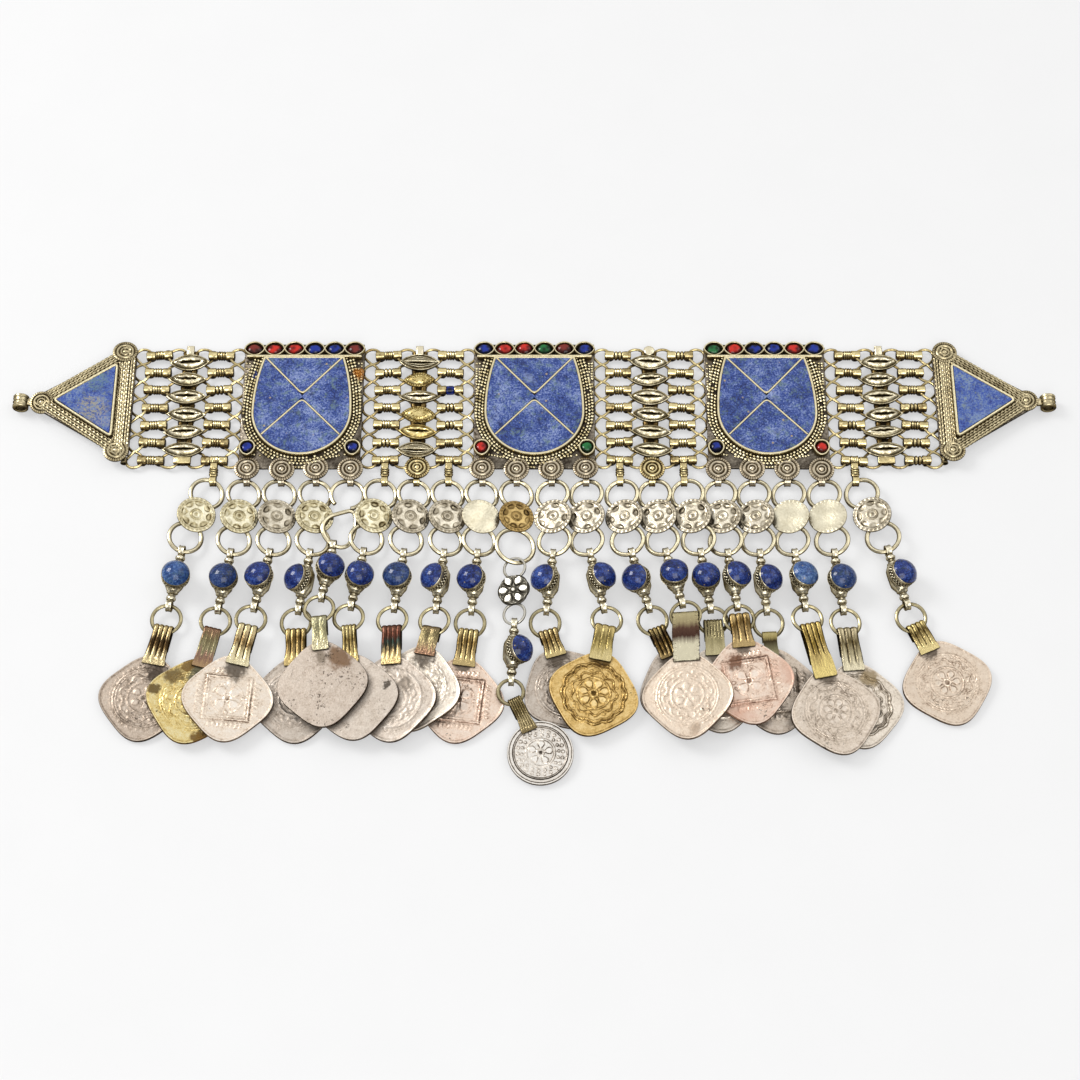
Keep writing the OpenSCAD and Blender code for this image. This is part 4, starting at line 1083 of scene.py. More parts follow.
def leaf_ornament(at, piece, kind, length, wide):
    piece.add(slab(leaf(length, wide), 0, 0.6, 0.25), at, 0.45)
    rim = at_height(leaf(length - 0.4, wide - 0.5), 0.55)
    if kind == "slot":
        piece.add(sweep(rim, circle(0.26), closed=True), at, 0.75)
        outline = leaf(length - 0.5, wide - 0.6)
        # Rows of the lens: scale along, scale across, height and how bright it is painted; the slit at its
        # bottom is painted dark as shade
        rows = [(1.0, 1.0, 0.5, 0.4), (0.93, 0.86, 0.85, 0.65), (0.84, 0.66, 1.25, 0.8),
                (0.74, 0.4, 1.45, 1.2), (0.64, 0.2, 1.25, 0.6), (0.56, 0.1, 0.8, 0.0),
                (0.5, 0.04, 0.5, -0.4)]
        phase = rng.uniform(0, 6)
        ripple = 0.09 * np.sin(outline[:, 0] * 2.3 + phase) + 0.06 * np.sin(outline[:, 0] * 5.1 - phase)
        lens = [at_height(outline * (sx, sy), z + ripple * z) for sx, sy, z, _ in rows]
        piece.add(stack(lens), at, np.repeat([row[3] for row in rows], len(outline)))
    if kind == "ridge":
        piece.add(sweep(rim, circle(0.22), closed=True), at, 0.8)
        x = np.linspace(-0.44, 0.44, 19) * length
        arch = np.cos(x / length * math.pi)
        for s, lift, r in ((0, 0.55, 0.42), (-0.55, 0.2, 0.24), (0.55, 0.2, 0.24),
                           (-0.95, 0.05, 0.2), (0.95, 0.05, 0.2)):
            path = np.stack([x * (1 - 0.14 * abs(s)), s * wide / 3.2 * arch, 0.7 + lift * arch], -1)
            wire = sweep(path, circle(r), swell=0.3 + 0.7 * arch)
            piece.add(wire, at, rng.uniform(0.75, 1.05))
    if kind == "grain":
        rows = [(1.0, 0.5), (0.86, 0.95), (0.6, 1.3), (0.3, 1.5)]
        outline = leaf(length * 0.86, wide * 0.82)
        piece.add(stack([at_height(outline * q, z) for q, z in rows]), at, 0.85)
        for q, z in ((1.0, 0.6), (0.74, 1.08), (0.46, 1.38)):
            for x, y in spaced(outline * q, 0.72, closed=True):
                if rng.random() < 0.8:
                    dome = grain(rng.uniform(0.24, 0.36))
                    piece.add(dome, at @ move(x, y, z), rng.uniform(0.7, 1.15))


# One row for each leaf ornament of a panel, from the top: kind, length, width, and whether it is gilt
PLAIN_LEAVES = [("slot", 11.8, 5.3, False), ("slot", 11.4, 4.9, False), ("slot", 12.0, 5.5, False),
                ("slot", 11.6, 5.0, False), ("slot", 12.0, 4.9, False), ("slot", 12.2, 5.1, False)]
MIXED_LEAVES = [("ridge", 12.4, 5.8, False), ("grain", 9.8, 4.9, True), ("slot", 12.2, 4.3, False),
                ("grain", 10.8, 5.5, True), ("slot", 11.4, 5.3, True), ("ridge", 11.8, 5.6, False)]
LEAVES = [PLAIN_LEAVES, MIXED_LEAVES, PLAIN_LEAVES, PLAIN_LEAVES]


def centre(p):
    """The middle column of a panel: tube pairs, leaf ornaments, and a clip or boss below."""
    piece, gilt, leaves = Piece(), Piece(), Piece()
    x0 = panel_mid(p)
    # The tube pairs, saddles and spine under the leaves are painted dark: painted shade under and between the
    # leaves
    for k in range(ROWS):
        for s in (-1, 1):
            lie = move(x0 + s * CENTRE_TUBE_X, row_y(k), LACE_Z) @ ALONG_Y
            piece.add(pipe(1.1, TUBE_BORE, 2.2, 16), lie, 0.5)
        saddle = slab(block(0.7, -1.2, 1.2), -0.9, 0.9, 0.3)
        piece.add(saddle, move(x0, row_y(k), LACE_Z), 0.3)
    spine = block(0.7, row_y(ROWS - 1) - 1.3, row_y(0) + 2.1)
    piece.add(slab(spine, LACE_Z + 0.6, LACE_Z + 1.1), move(x0, 0, 0), 0.05)
    for k in range(ROWS - 1):
        sway = turn("z", rng.normal(0, 2.5)) @ turn("x", rng.normal(0, 5))
        kind, length, wide, gold = LEAVES[p][k]
        at = move(x0 + rng.normal(0, 0.2), row_y(k) - ROW_PITCH / 2, LACE_Z + 1) @ sway
        leaf_ornament(at, gilt if gold else leaves, kind, length, wide)
    clip = oval(1.7, 1.7, 24) if p == 2 else block(1.2, -1.7, 1.7, 1.1)
    leaves.add(slab(clip, 0, 0.8, 0.3), move(x0, row_y(0) + 1.0, LACE_Z + 1.1), 1.1)
    if p in (1, 2):
        boss((x0, BOSS_Y), BOSS_R, piece)
        hanger(x0, piece)
        stem = slab(block(1, BOSS_Y, BOSS_Y + 4), LACE_Z + 1, LACE_Z + 1.6)
        piece.add(stem, move(x0, 0, 0))
    else:
        foot = slab(block(2.6, -1.1, 1.1), 0, 0.8, 0.25)
        piece.add(foot, move(x0, row_y(ROWS - 1) - 0.4, LACE_Z + 0.9))
    piece.make(f"panel_{p + 1}_ornaments", YELLOW, "old_silver", f"panel_{p + 1}_centre")
    leaves.make(f"panel_{p + 1}_leaves", LEAF_SILVER, "old_silver", f"panel_{p + 1}_centre")
    if gilt.count:
        gilt.make(f"panel_{p + 1}_gilt_leaves", GILT_SILVER, "old_silver", f"panel_{p + 1}_centre")


# The steps and the rise of the quarter arches that close a lacing column at both ends
ARCH_STEPS = 9
ARCH_RISE = 2.3


def lacing(p):
    """Two wires to a column, swinging between its tubes and crossing between the rows."""
    piece = Piece()
    for x0 in (-LACE_OUT_X, -LACE_IN_X, LACE_IN_X, LACE_OUT_X):
        outwards = 1 if x0 > 0 else -1
        far = 2.25 if abs(x0) == LACE_OUT_X else LACE_R - 0.15
        n = ARCH_STEPS
        arch = np.radians(np.linspace(0, 90, n + 1))
        y = np.concatenate([row_y(0) + ARCH_RISE * np.cos(arch[:-1]),
                            np.linspace(row_y(0), row_y(ROWS - 1), 79),
                            row_y(ROWS - 1) - ARCH_RISE * np.sin(arch[1:])])
        swing = np.cos((y - row_y(0)) / ROW_PITCH * math.pi)
        wide = np.sign(swing) * np.abs(swing) ** 0.72
        wide[:n], wide[-n:] = np.sin(arch[:-1]), np.cos(arch[1:])
        loose = 0.22 * np.sin(y * 0.9 + x0 + p) - 0.25 * outwards
        for s in (-1, 1):
            over = 0.42 * np.sin((y - row_y(0)) / ROW_PITCH * math.pi * 2) * s
            over[:n], over[-n:] = 0.25 * s * wide[:n], 0.25 * s * wide[-n:]
            side = s * wide
            reach = np.where(side * outwards > 0, far, LACE_R - 0.15)
            x = panel_mid(p) + x0 + reach * side + loose * (1 - wide ** 2)
            path = np.stack([x, y, LACE_Z + over], -1)
            piece.add(sweep(path, circle(LACE_WIRE_LOOK, 10)), None, rng.uniform(0.85, 1.1))
    piece.make(f"panel_{p + 1}_wires", WIRE, "yellow_wire", f"panel_{p + 1}_lacing", side_wear_and_shade=0.9)


# The drops


def round_outline(r):
    return lambda a: np.full(len(a), float(r))


def petals(x, y, count, middle, size, turn_by=0.0):
    """1 inside each of a ring of round petals, falling to 0 at their edges."""
    a, r = np.arctan2(y, x) + turn_by, np.hypot(x, y)
    step = 2 * math.pi / count
    a = (a + step / 2) % step - step / 2
    return 1 - smooth(np.hypot((r - middle) * 0.8, a * middle), size * 0.55, size)


DISC_COUNTS = [8, 8, 6, 8, 8, 8, 6, 7, 0, 8, 8, 7, 6, 8, 7, 8, 8, 0, 0, 8]


def stamped_disc(i, r, piece, at):
    """A disc stamped with a ring of dimples round a small ring, or worn smooth."""
    count = DISC_COUNTS[i]

    def face(x, y):
        d, a = np.hypot(x, y), np.arctan2(y, x)
        worn = 0.7 + 0.3 * np.sin(0.9 * x + i) * np.cos(0.7 * y - i)
        milled = smooth(d, r * 0.84, r * 0.88) * 0.13 * np.cos(a * 26 + i)
        if not count:
            return 0.05 * np.sin(0.8 * x + i) + 0.04 * np.sin(1.1 * y - i) + 0.5 * milled
        h = 0.1 * line(d - r * 0.8, 0.2) + milled
        step = 2 * math.pi / count
        beside = ((a + i + step / 2) % step - step / 2) * r * 0.62
        outwards = d - r * 0.63
        narrow = 1 + 2.2 * np.clip(-outwards / r, -0.1, 0.2)
        punch = 1 - smooth(np.hypot(beside * narrow / (r * 0.23), outwards / (r * 0.16)), 0.45, 1)
        h = h - worn ** 2 * 0.55 * punch * (0.8 + 1.2 * outwards / r)
        return h + worn * (0.26 * line(d - r * 0.26, 0.24) + 0.3 * (1 - smooth(d, 0.15, 0.5)))

    shape, bare = struck(round_outline(r), r, 26, 80, face, 0.25, 0.3, 0.88, 0.35, 0.85)
    piece.add(shape, at @ move(0, 0, 0.7), bare)


def disc_link(i, piece):
    at = link_frame(i)
    if i == OPEN_RING:
        a = np.radians(np.linspace(-68, 232, 40))
        path = np.stack([OPEN_R * np.cos(a), OPEN_R * np.sin(a) - OPEN_R, 0 * a], -1)
        piece["brass"].add(sweep(path, circle(WIRE_LOOK)), at)
        return
    low_r, step, disc = LINK_RING_R, LINK_STEP, DISC_R
    if i == LONG_DROP:
        low_r, step, disc = LONG_RING_R, LONG_STEP, LONG_DISC_R
    piece["brass"].add(ring(LINK_RING_R, WIRE_LOOK), at @ move(0, -LINK_RING_R, 0))
    piece["brass"].add(ring(low_r, WIRE_LOOK), at @ move(0, -LINK_RING_R - LINK_STEP - step, 0))
    middle = at @ move(0, -LINK_RING_R - LINK_STEP, 0) @ turn("z", rng.uniform(0, 360))
    stamped_disc(i, disc + 0.3, piece["disc"], middle)


GOLD_DISC = worn_metal("gold_disc", tones("221A0C 6C5E3E C6BA94 FFF8DC", 0.65), mottle=0.4, reach=0.7)
BRONZE_DISC = worn_metal("bronze_disc", tones("20150A 5C4826 9A7F4E D2B67A", 0.65), mottle=0.4, reach=0.7)
PALE_DISC = worn_metal("pale_disc", tones("453B2A 94886E CCC2A6 F4ECD2", 0.65), mottle=0.3, reach=0.7)
SILVER_DISC = worn_metal("silver_disc", tones("17120C 5C5342 ADA28C ECE3CF", 0.65), mottle=0.4, reach=0.7)
DISC_METALS = {"gold": (GOLD_DISC, (0, 1, 3, 5)), "bronze": (BRONZE_DISC, (9,)),
               "pale": (PALE_DISC, (8, 17, 18)),
               "silver": (SILVER_DISC, (2, 6, 7, 10, 11, 12, 13, 14, 15, 16, 19))}


def disc_links():
    rings = {"left": Piece(), "right": Piece()}
    for metal, (material, members) in DISC_METALS.items():
        discs = Piece()
        for i in members:
            disc_link(i, {"brass": rings["left" if i <= LONG_DROP else "right"], "disc": discs})
        discs.make(f"discs_{metal}", material, "old_silver", "disc_links_left", "disc_links_right", sharp=50)
    disc_link(OPEN_RING, {"brass": rings["left"]})
    for side, piece in rings.items():
        piece.make(f"link_rings_{side}", RING_BRASS, "yellow_wire", f"disc_links_{side}", side_wear_and_shade=0.88)


def silver_link():
    piece, at = Piece(), silver_frame()
    for y in (-SILVER_RING_R, -SILVER_RING_R - 2 * SILVER_STEP):
        piece.add(ring(SILVER_RING_R, SILVER_WIRE), at @ move(0, y, 0))

    def outline(a):
        return SILVER_DISC_R - 0.35 + 0.35 * np.abs(np.cos(3 * a)) ** 0.5

    def face(x, y):
        d = np.hypot(x, y)
        middle = 0.5 * (1 - smooth(d, 0.4, 1.1))
        return 0.6 * petals(x, y, 6, 2.9, 1.5) + middle + 0.2 * line(d - 4.3, 0.3)

    shape, bare = struck(outline, SILVER_DISC_R, 24, 90, face, 0.25, 0.3, 0.45, 0.7, 0.4)
    piece.add(shape, at @ move(0, -SILVER_RING_R - SILVER_STEP, 0.6), bare)
    piece.make("flower_link", BRIGHT, "bright_silver", "silver_link")


def bent_ring():
    """The fifth drop's second ring, bent to a D with a nearly straight upper side."""
    corners = np.array([(-53.4, 14.7, 1.9), (-57.0, 13.4, 2.4), (-60.2, 11.9, 3.2), (-61.8, 9.7, 3.8),
                        (-62.2, 6.9, 3.8), (-60.8, 4.1, 3.2), (-58.5, 2.5, 2.5), (-56.3, 2.1, 1.9),
                        (-54.1, 3.3, 1.5), (-52.9, 7.2, 1.3), (-52.3, 11.6, 1.5)])
    path = corners
    for _ in range(3):
        ahead = np.roll(path, -1, 0)
        path = np.stack([0.75 * path + 0.25 * ahead, 0.25 * path + 0.75 * ahead], 1).reshape(-1, 3)
    piece = Piece()
    piece.add(sweep(path, circle(WIRE_LOOK), closed=True))
    piece.make("bent_wire_ring", RING_BRASS, "yellow_wire", "bent_ring")


# Half the outline of a bead: radius, and distance from the eye's middle
SPINDLE = [(0.5, 1.1), (0.95, 1.2), (0.95, 1.65), (1.28, 1.8), (1.42, 2.1), (1.42, 2.45),
           (1.28, 2.75), (0.98, 2.9), (1.05, 3.05), (1.18, 3.2), (1.05, 3.38), (1.0, 3.5),
           (1.45, 3.95), (1.7, 4.15), (1.62, 4.4), (2.2, 5.4), (2.7, 6.3), (2.8, 7.4)]


def bead(i, piece):
    at = bead_frame(i)
    for y in (0, -BEAD_LEN):
        eye = pipe(EYE_R + EYE_WIRE, EYE_R - 0.3, 1.6, 24, 0.1)
        piece.add(eye, at @ move(0, y, 0) @ ALONG_X)
    half = [(r, y - BEAD_LEN / 2) for r, y in SPINDLE]
    profile = half + [(r, -y) for r, y in reversed(half)]
    sides = 16
    # Painted darker at its narrow necks than on its swellings
    bare = np.repeat([0.45 if r < 1.04 else 0.95 for r, y in profile], sides)
    middle = at @ move(0, -BEAD_LEN / 2, 0)
    piece.add(revolve(profile, sides), middle @ turn("x", 90), bare)
    cup = middle @ turn("y", DROPS[i].cab_roll)
    r, mouth = CAB_R + 0.42, CAB_LOOK + 0.04
    # The cup's wall: radius, height, and how bright it is painted. Its underside, the band that holds the
    # grains and the inside of its mouth are painted dark as shade
    wall = [(2.0, -1.2, 0.5), (2.9, -0.2, 0.6), (3.6, 0.7, 0.7), (r - 0.1, 1.2, 0.9), (r, 1.45, 0.9),
            (r - 0.25, 1.6, 0.15), (r - 0.3, 2.9, 0.15), (r - 0.05, 3.0, 0.9), (r, 3.3, 0.8),
            (r - 0.04, CUP_TOP - 0.15, 0.85), (r - 0.12, CUP_TOP - 0.05, 0.75),
            (mouth, CUP_TOP - 0.05, 0.45), (mouth, 2.6, 0.1)]
    sides = 32
    bare = np.repeat([row[2] for row in wall], sides)
    piece.add(revolve([row[:2] for row in wall], sides), cup, bare)
    for z in (1.95, 2.6):
        for a in np.arange(0, 360, 13.85):
            lie = cup @ turn("z", a + (6.9 if z > 2 else 0)) @ move(r - 0.3, 0, z) @ turn("y", 90)
            piece.add(grain(0.34), lie, rng.uniform(0.8, 1.1))


def cabochon(i, piece):
    cup = bead_frame(i) @ move(0, -BEAD_LEN / 2, 0) @ turn("y", DROPS[i].cab_roll)
    dome_r, base = 4.55, 1.75
    a = np.linspace(math.asin(CAB_LOOK / dome_r), 0.02, 10)
    rise = dome_r * math.cos(math.asin(CAB_LOOK / dome_r))
    dome = [(dome_r * math.sin(t), base - rise + dome_r * math.cos(t)) for t in a]
    lie = cup @ move(0, 0, 2.45) @ turn("z", rng.uniform(0, 360))
    piece.add(revolve([(CAB_LOOK - 0.05, 0.1)] + dome, 36), lie)


# The drops whose round stones aren't deep blue
CAB_PALE = (0, 17)
CAB_SLATE = (1, 6, 18)


def beads():
    for side, members in (("left", range(10)), ("right", range(10, 20))):
        piece = Piece()
        for i in members:
            bead(i, piece)
        piece.make(f"beads_{side}", BEAD_SILVER, "old_silver", f"bead_settings_{side}", side_wear_and_shade=0.55)
    stones = [Piece(), Piece(), Piece()]
    for i in range(len(DROPS)):
        cabochon(i, stones[1 if i in CAB_PALE else 2 if i in CAB_SLATE else 0])
    for piece, material, name in zip(stones, CAB_BLUES, ("deep", "pale", "slate")):
        piece.make(f"cabochons_{name}", material, "cabochon", "cabochons")


def coin_rings():
    piece = Piece()
    for i in range(len(DROPS)):
        lie = ring_frame(i) @ turn("z", rng.uniform(0, 360))
        piece.add(ring(ring_r(i), COIN_WIRE_LOOK), lie)
    piece.make("coin_wire_rings", COIN_RING_BRASS, "yellow_wire", "coin_rings")


# The coins


def square_outline(a):
    """A square coin with round corners, its corners on the axes."""
    n = 3.2
    c, s = np.abs(np.cos(a + math.pi / 4)), np.abs(np.sin(a + math.pi / 4))
    return COIN_DIAG / 2 * 2 ** (1 / n - 1 / 2) / (c ** n + s ** n) ** (1 / n)


def edge_share(x, y):
    """How far out a place on a square coin is, 1 at its edge."""
    return np.hypot(x, y) / square_outline(np.arctan2(y, x))


# Coins that are worn nearly smooth, and how much of their relief is left
FAINT = {0: 0.9, 2: 0.75, 3: 0.8, 6: 0.7, 12: 0.8, 13: 0.6, 14: 0.8, 17: 0.8}


def struck_face(kind, i):
    """The relief of a coin's face: plain rings, frames, vines, leaves and petals, worn unevenly."""
    turns = 7 + i % 4

    def face(x, y):
        d, a = np.hypot(x, y), np.arctan2(y, x)
        worn = (0.72 + 0.28 * np.sin(0.31 * x + 1.7 * i) * np.cos(0.27 * y - i)) * FAINT.get(i, 1)
        h = 0.012 * np.sin(3.1 * x + i) * np.sin(2.7 * y)
        flower = 0.24 * petals(x, y, 5 + i % 3, 2.5, 1.15, i) + 0.2 * line(d - 0.9, 0.3)
        if kind == "blank":
            return h
        if kind == "round":
            h = h + 0.18 * smooth(d, ROUND_R - 0.7, ROUND_R - 0.45) + 0.2 * line(d - 7.9, 0.25)
            leaves = petals(x, y, 22, 6.6, 0.55, 0.1) + petals(x, y, 18, 5.4, 0.45)
            return h + worn * (0.2 * np.clip(leaves, 0, 1) + flower + 0.18 * line(d - 4.2, 0.3))
        share = edge_share(x, y)
        h = h + 0.15 * smooth(share, 0.945, 0.967)
        if kind == "rings":
            vine = line(d - 6.5 - 0.6 * np.sin(a * turns + i), 0.3)
            bays = petals(x, y, turns, 7.1, 0.5, (i - math.pi / 2) / turns + math.pi / turns)
            leaves = petals(x, y, turns * 2, 5.9, 0.36, i / turns)
            h = h + worn * (0.22 * line(d - 8.7, 0.3) + 0.18 * line(d - 8.0, 0.15)
                            + 0.2 * line(d - 4.6, 0.28))
            h = h + worn * (0.22 * np.clip(vine + bays + leaves, 0, 1) + flower)
            h = h + worn * 0.16 * petals(x, y, 40, 9.5, 0.3) * (share < 0.93)
        if kind == "frame":
            reach = np.maximum(np.abs(x), np.abs(y))
            h = h + worn * (0.3 * line(reach - 6.3, 0.4) - 0.12 * line(reach - 6.85, 0.25)
                            + 0.2 * line(reach - 5.5, 0.15))
            strokes = line(((y + 0.3 * x) % 1.3) - 0.65, 0.45, 0.14) * line(np.abs(x) - 8.1, 1.4, 0.12)
            across = line(((x - 0.3 * y) % 1.3) - 0.65, 0.45, 0.14) * line(np.abs(y) - 8.1, 1.3, 0.12)
            h = h + worn * 0.24 * (strokes * (np.abs(y) < 5.2) + across * (np.abs(x) < 4.8))
            h = h + worn * (0.3 * petals(x, y, 4, 2.5, 1.6, math.pi / 4) + 0.24 * line(d - 1.0, 0.3))
            h = h + worn * (0.22 * petals(x, y, 4, 4.4, 0.6)
                            + 0.2 * line(d - 4.4, 0.2) * (np.cos(4 * a) < 0.5))
        if kind == "scallop":
            lobes = 8.7 + 0.6 * np.abs(np.sin(a * 6))
            h = h + 0.26 * line(d - lobes, 0.35) + 0.2 * line(d - lobes + 0.95, 0.2)
            vine = line(d - 6.2 - 0.5 * np.sin(a * 9), 0.28) + petals(x, y, 9, 6.8, 0.42, 0.17)
            h = h + 0.22 * np.clip(vine, 0, 1) + 0.28 * petals(x, y, 7, 3.0, 1.3, 0.4)
            h = h + 0.22 * line(d - 4.7, 0.22) + 0.24 * line(d - 1.1, 0.35)
        return h
    return face


NICKEL = tones("261E17 74675A B8AB9D DCD2C6")
PINK = tones("3E3025 988472 E2D2BF FBF3E8")
ROSE = tones("402C22 957A69 E2CAB6 F9EBDD")
TARNISHED = tones("1E1710 605346 AC9C8C D0C3B4")
GREY = tones("251F18 786B5D C8B9A8 E6DACC")
SLATE = tones("201A14 6E6256 B0A294 D0C4B7")
WHITE = tones("3A3027 908474 D2C6B6 F3EADD")
GILT = tones("2A1C08 876A34 E0C987 FFF6CC")
DULL_BRASS = tones("24160A 7A5E30 D0AE6C FBE0A4")
BLUSH = tones("3E3025 8E7A68 D4C2AE E8DAC9")
SILVERY = tones("2A241D 867D73 DAD1C5 FFFAF2")

# Dark spots on a coin just below its strap's lower end: the strap's painted shadow, with grimy smudges
STRAP_SHADOW_AND_GRIME = (0, 9.4, 3.6, "4B4238")
STRAP_END_SHADOW_AND_SMUDGE = (0, 10.4, 2.8, "5C5247")
# One row for each coin: its metal's tones, its stains and how pitted it is
COIN_LOOKS = [
    dict(stops=TARNISHED, stains=[(1.5, 8.0, 3.2, "3A3028")], pits=0.8),
    dict(stops=GILT, pits=0.2, rough=(0.5, 0.22),
         stains=[(1, 9.5, 5.0, "4A4C42"), (-7.0, 6.2, 3.0, "6A5636"), (-11.0, 0.5, 1.8, "5E4A2C"),
                 (5, -10.2, 2.6, "6A4A1E"), (-4, 10, 2.2, "7A5E34"), (10, -4, 1.8, "5A3A20")]),
    dict(stops=PINK, stains=[STRAP_SHADOW_AND_GRIME], pits=0.15),
    dict(stops=NICKEL, stains=[STRAP_END_SHADOW_AND_SMUDGE], pits=0.3),
    dict(stops=SLATE, stains=[(5.5, 7.2, 4.0, "6B5038"), (0, 8, 2.5, "7A6E60")], pits=0.8),
    dict(stops=NICKEL, stains=[(9.8, 2.5, 1.2, "3A332C"), STRAP_END_SHADOW_AND_SMUDGE], pits=0.2),
    dict(stops=NICKEL, stains=[STRAP_END_SHADOW_AND_SMUDGE, (4, 4, 2.5, "857A6E")], pits=0.4),
    dict(stops=WHITE, stains=[STRAP_SHADOW_AND_GRIME], pits=0.2),
    dict(stops=ROSE, stains=[STRAP_END_SHADOW_AND_SMUDGE], pits=0.2),
    dict(stops=SILVERY, stains=[], pits=0.15, rough=(0.45, 0.24)),
    dict(stops=NICKEL, stains=[STRAP_SHADOW_AND_GRIME], pits=0.5),
    dict(stops=DULL_BRASS, stains=[(0, 11, 3.5, "4B3518")], pits=0.3),
    dict(stops=NICKEL, stains=[STRAP_SHADOW_AND_GRIME], pits=0.4),
    dict(stops=BLUSH, stains=[(2, -10, 2.0, "B09C88")], pits=0.15),
    dict(stops=WHITE, stains=[STRAP_END_SHADOW_AND_SMUDGE], pits=0.2),
    dict(stops=ROSE, stains=[(-3, 6.0, 2.6, "6A4632"), STRAP_END_SHADOW_AND_SMUDGE], pits=0.4, tint="D0A48E"),
    dict(stops=GREY, stains=[STRAP_SHADOW_AND_GRIME], pits=0.4),
    dict(stops=GREY, stains=[STRAP_END_SHADOW_AND_SMUDGE], pits=0.35, rough=(0.45, 0.3)),
    dict(stops=WHITE, stains=[(4, 8, 3, "8C7A5C")], pits=0.2),
    dict(stops=BLUSH, stains=[STRAP_END_SHADOW_AND_SMUDGE], pits=0.25),
]

# Coins that lie mostly under others, made of fewer faces
COVERED = (3, 6, 7, 12, 14, 16)


def half_size(d):
    return ROUND_R if d.kind == "round" else COIN_DIAG / 2


def coin_shape(i, piece):
    d = DROPS[i]
    at = coin_frame(i) @ move(0, -d.reach, 0)
    outline, low, darkening, size = square_outline, 0.7, 0.8, 1.0
    if d.kind == "round":
        outline, low, darkening, size = round_outline(ROUND_R), 0.92, 1.9, ROUND_COIN_LOOK
    rings, sides = (14, 96) if d.kind == "blank" else (32, 108) if i in COVERED else (48, 144)
    shape, bare = struck(outline, half_size(d), rings, sides, struck_face(d.kind, i), 0.2,
                         COIN_T / 2 - 0.12, low, 0.85, darkening)
    local = shape[0] @ turn("z", d.turn)[:3, :3].T
    piece.add(shape, at @ turn("z", d.turn) @ np.diag([size, size, 1, 1]), bare, local)


# How each strap looks: flutes, their depth, share of plain lower end, spread of its lower end, and
# the colours down its front, each after its place
Strap = namedtuple("Strap", "flutes deep plain flare bands")
STRAPS = [Strap(*row) for row in [
    (4, 0.34, 0.12, 0.2, "0.0 C7B384 0.22 A99469 0.36 2E2216 0.6 4A3A22 0.85 C7B58A"),
    (4, 0.14, 0.2, 0.12, "0.0 886753 0.3 6E6448 0.55 867E60 0.75 88695A 0.95 AB8D6A"),
    (3, 0.36, 0.1, 0.15, "0.0 D2C398 0.3 A49069 0.45 5E4828 0.65 BCAC82 0.9 E7DBB5"),
    (4, 0.3, 0.15, 0.1, "0.0 C9B178 0.3 4A3818 0.6 867149 0.85 D0B77D"),
    (2, 0.1, 0.3, 0.1, "0.0 ABA585 0.35 807B5D 0.6 A39B78 0.9 C2B897"),
    (4, 0.26, 0.15, 0.2, "0.0 C6B682 0.35 5A4A26 0.6 8A794F 0.85 CAB378"),
    (4, 0.24, 0.15, 0.05, "0.0 715042 0.3 4C2C22 0.45 20302C 0.6 3E3628 0.8 CAB17E"),
    (2, 0.14, 0.4, 0.1, "0.0 907D5D 0.3 6C6244 0.6 978864 0.9 8A6B55"),
    (4, 0.34, 0.1, 0.1, "0.0 C2AF7B 0.35 5C4824 0.6 86744E 0.85 BEA876"),
    (6, 0.2, 0.05, 0.2, "0.0 90825D 0.4 5E5030 0.7 B2A279 0.95 7C6D4D"),
    (4, 0.34, 0.1, 0.1, "0.0 BCA676 0.35 5A4622 0.6 8A774F 0.85 C6B27E"),
    (3, 0.26, 0.25, 0.1, "0.0 C6B278 0.35 7A6A3E 0.6 A8965E 0.9 D2C08A"),
    (4, 0.36, 0.05, 0.05, "0.0 AD9865 0.35 2E2216 0.6 5E4A26 0.85 927D54"),
    (0, 0, 0, 0.0, "0.0 C0B48B 0.22 A39571 0.34 5C4438 0.5 4A342C 0.66 D9D1B5"),
    (6, 0.2, 0.42, 0.05, "0.0 8A7F5D 0.3 766D50 0.6 A1966F 0.9 BCB189"),
    (3, 0.36, 0.1, 0.1, "0.0 CAAF78 0.3 503C1C 0.6 86714B 0.85 B69D6D"),
    (0, 0, 0, 0.0, "0.0 CDBE88 0.25 A3935F 0.4 3A301F 0.8 8A8464"),
    (4, 0.36, 0.35, 0.16, "0.0 C6AD6C 0.3 6E5A26 0.55 AB955F 0.85 D5C07C"),
    (3, 0.34, 0.1, 0.1, "0.0 CABC98 0.35 4E4226 0.6 9F9475 0.9 D3C9AB"),
    (4, 0.32, 0.15, 0.1, "0.0 D3BE7F 0.3 4A3A1A 0.5 A3905F 0.85 DDCA90"),
]]

# A plain strap with notched sides that is wider in the photo than in the CAD part
WIDE_STRAP = 13

# The steps of a strap's path down its front, round its fold and down its back
FRONT, FOLD, BACK = 24, 13, 4


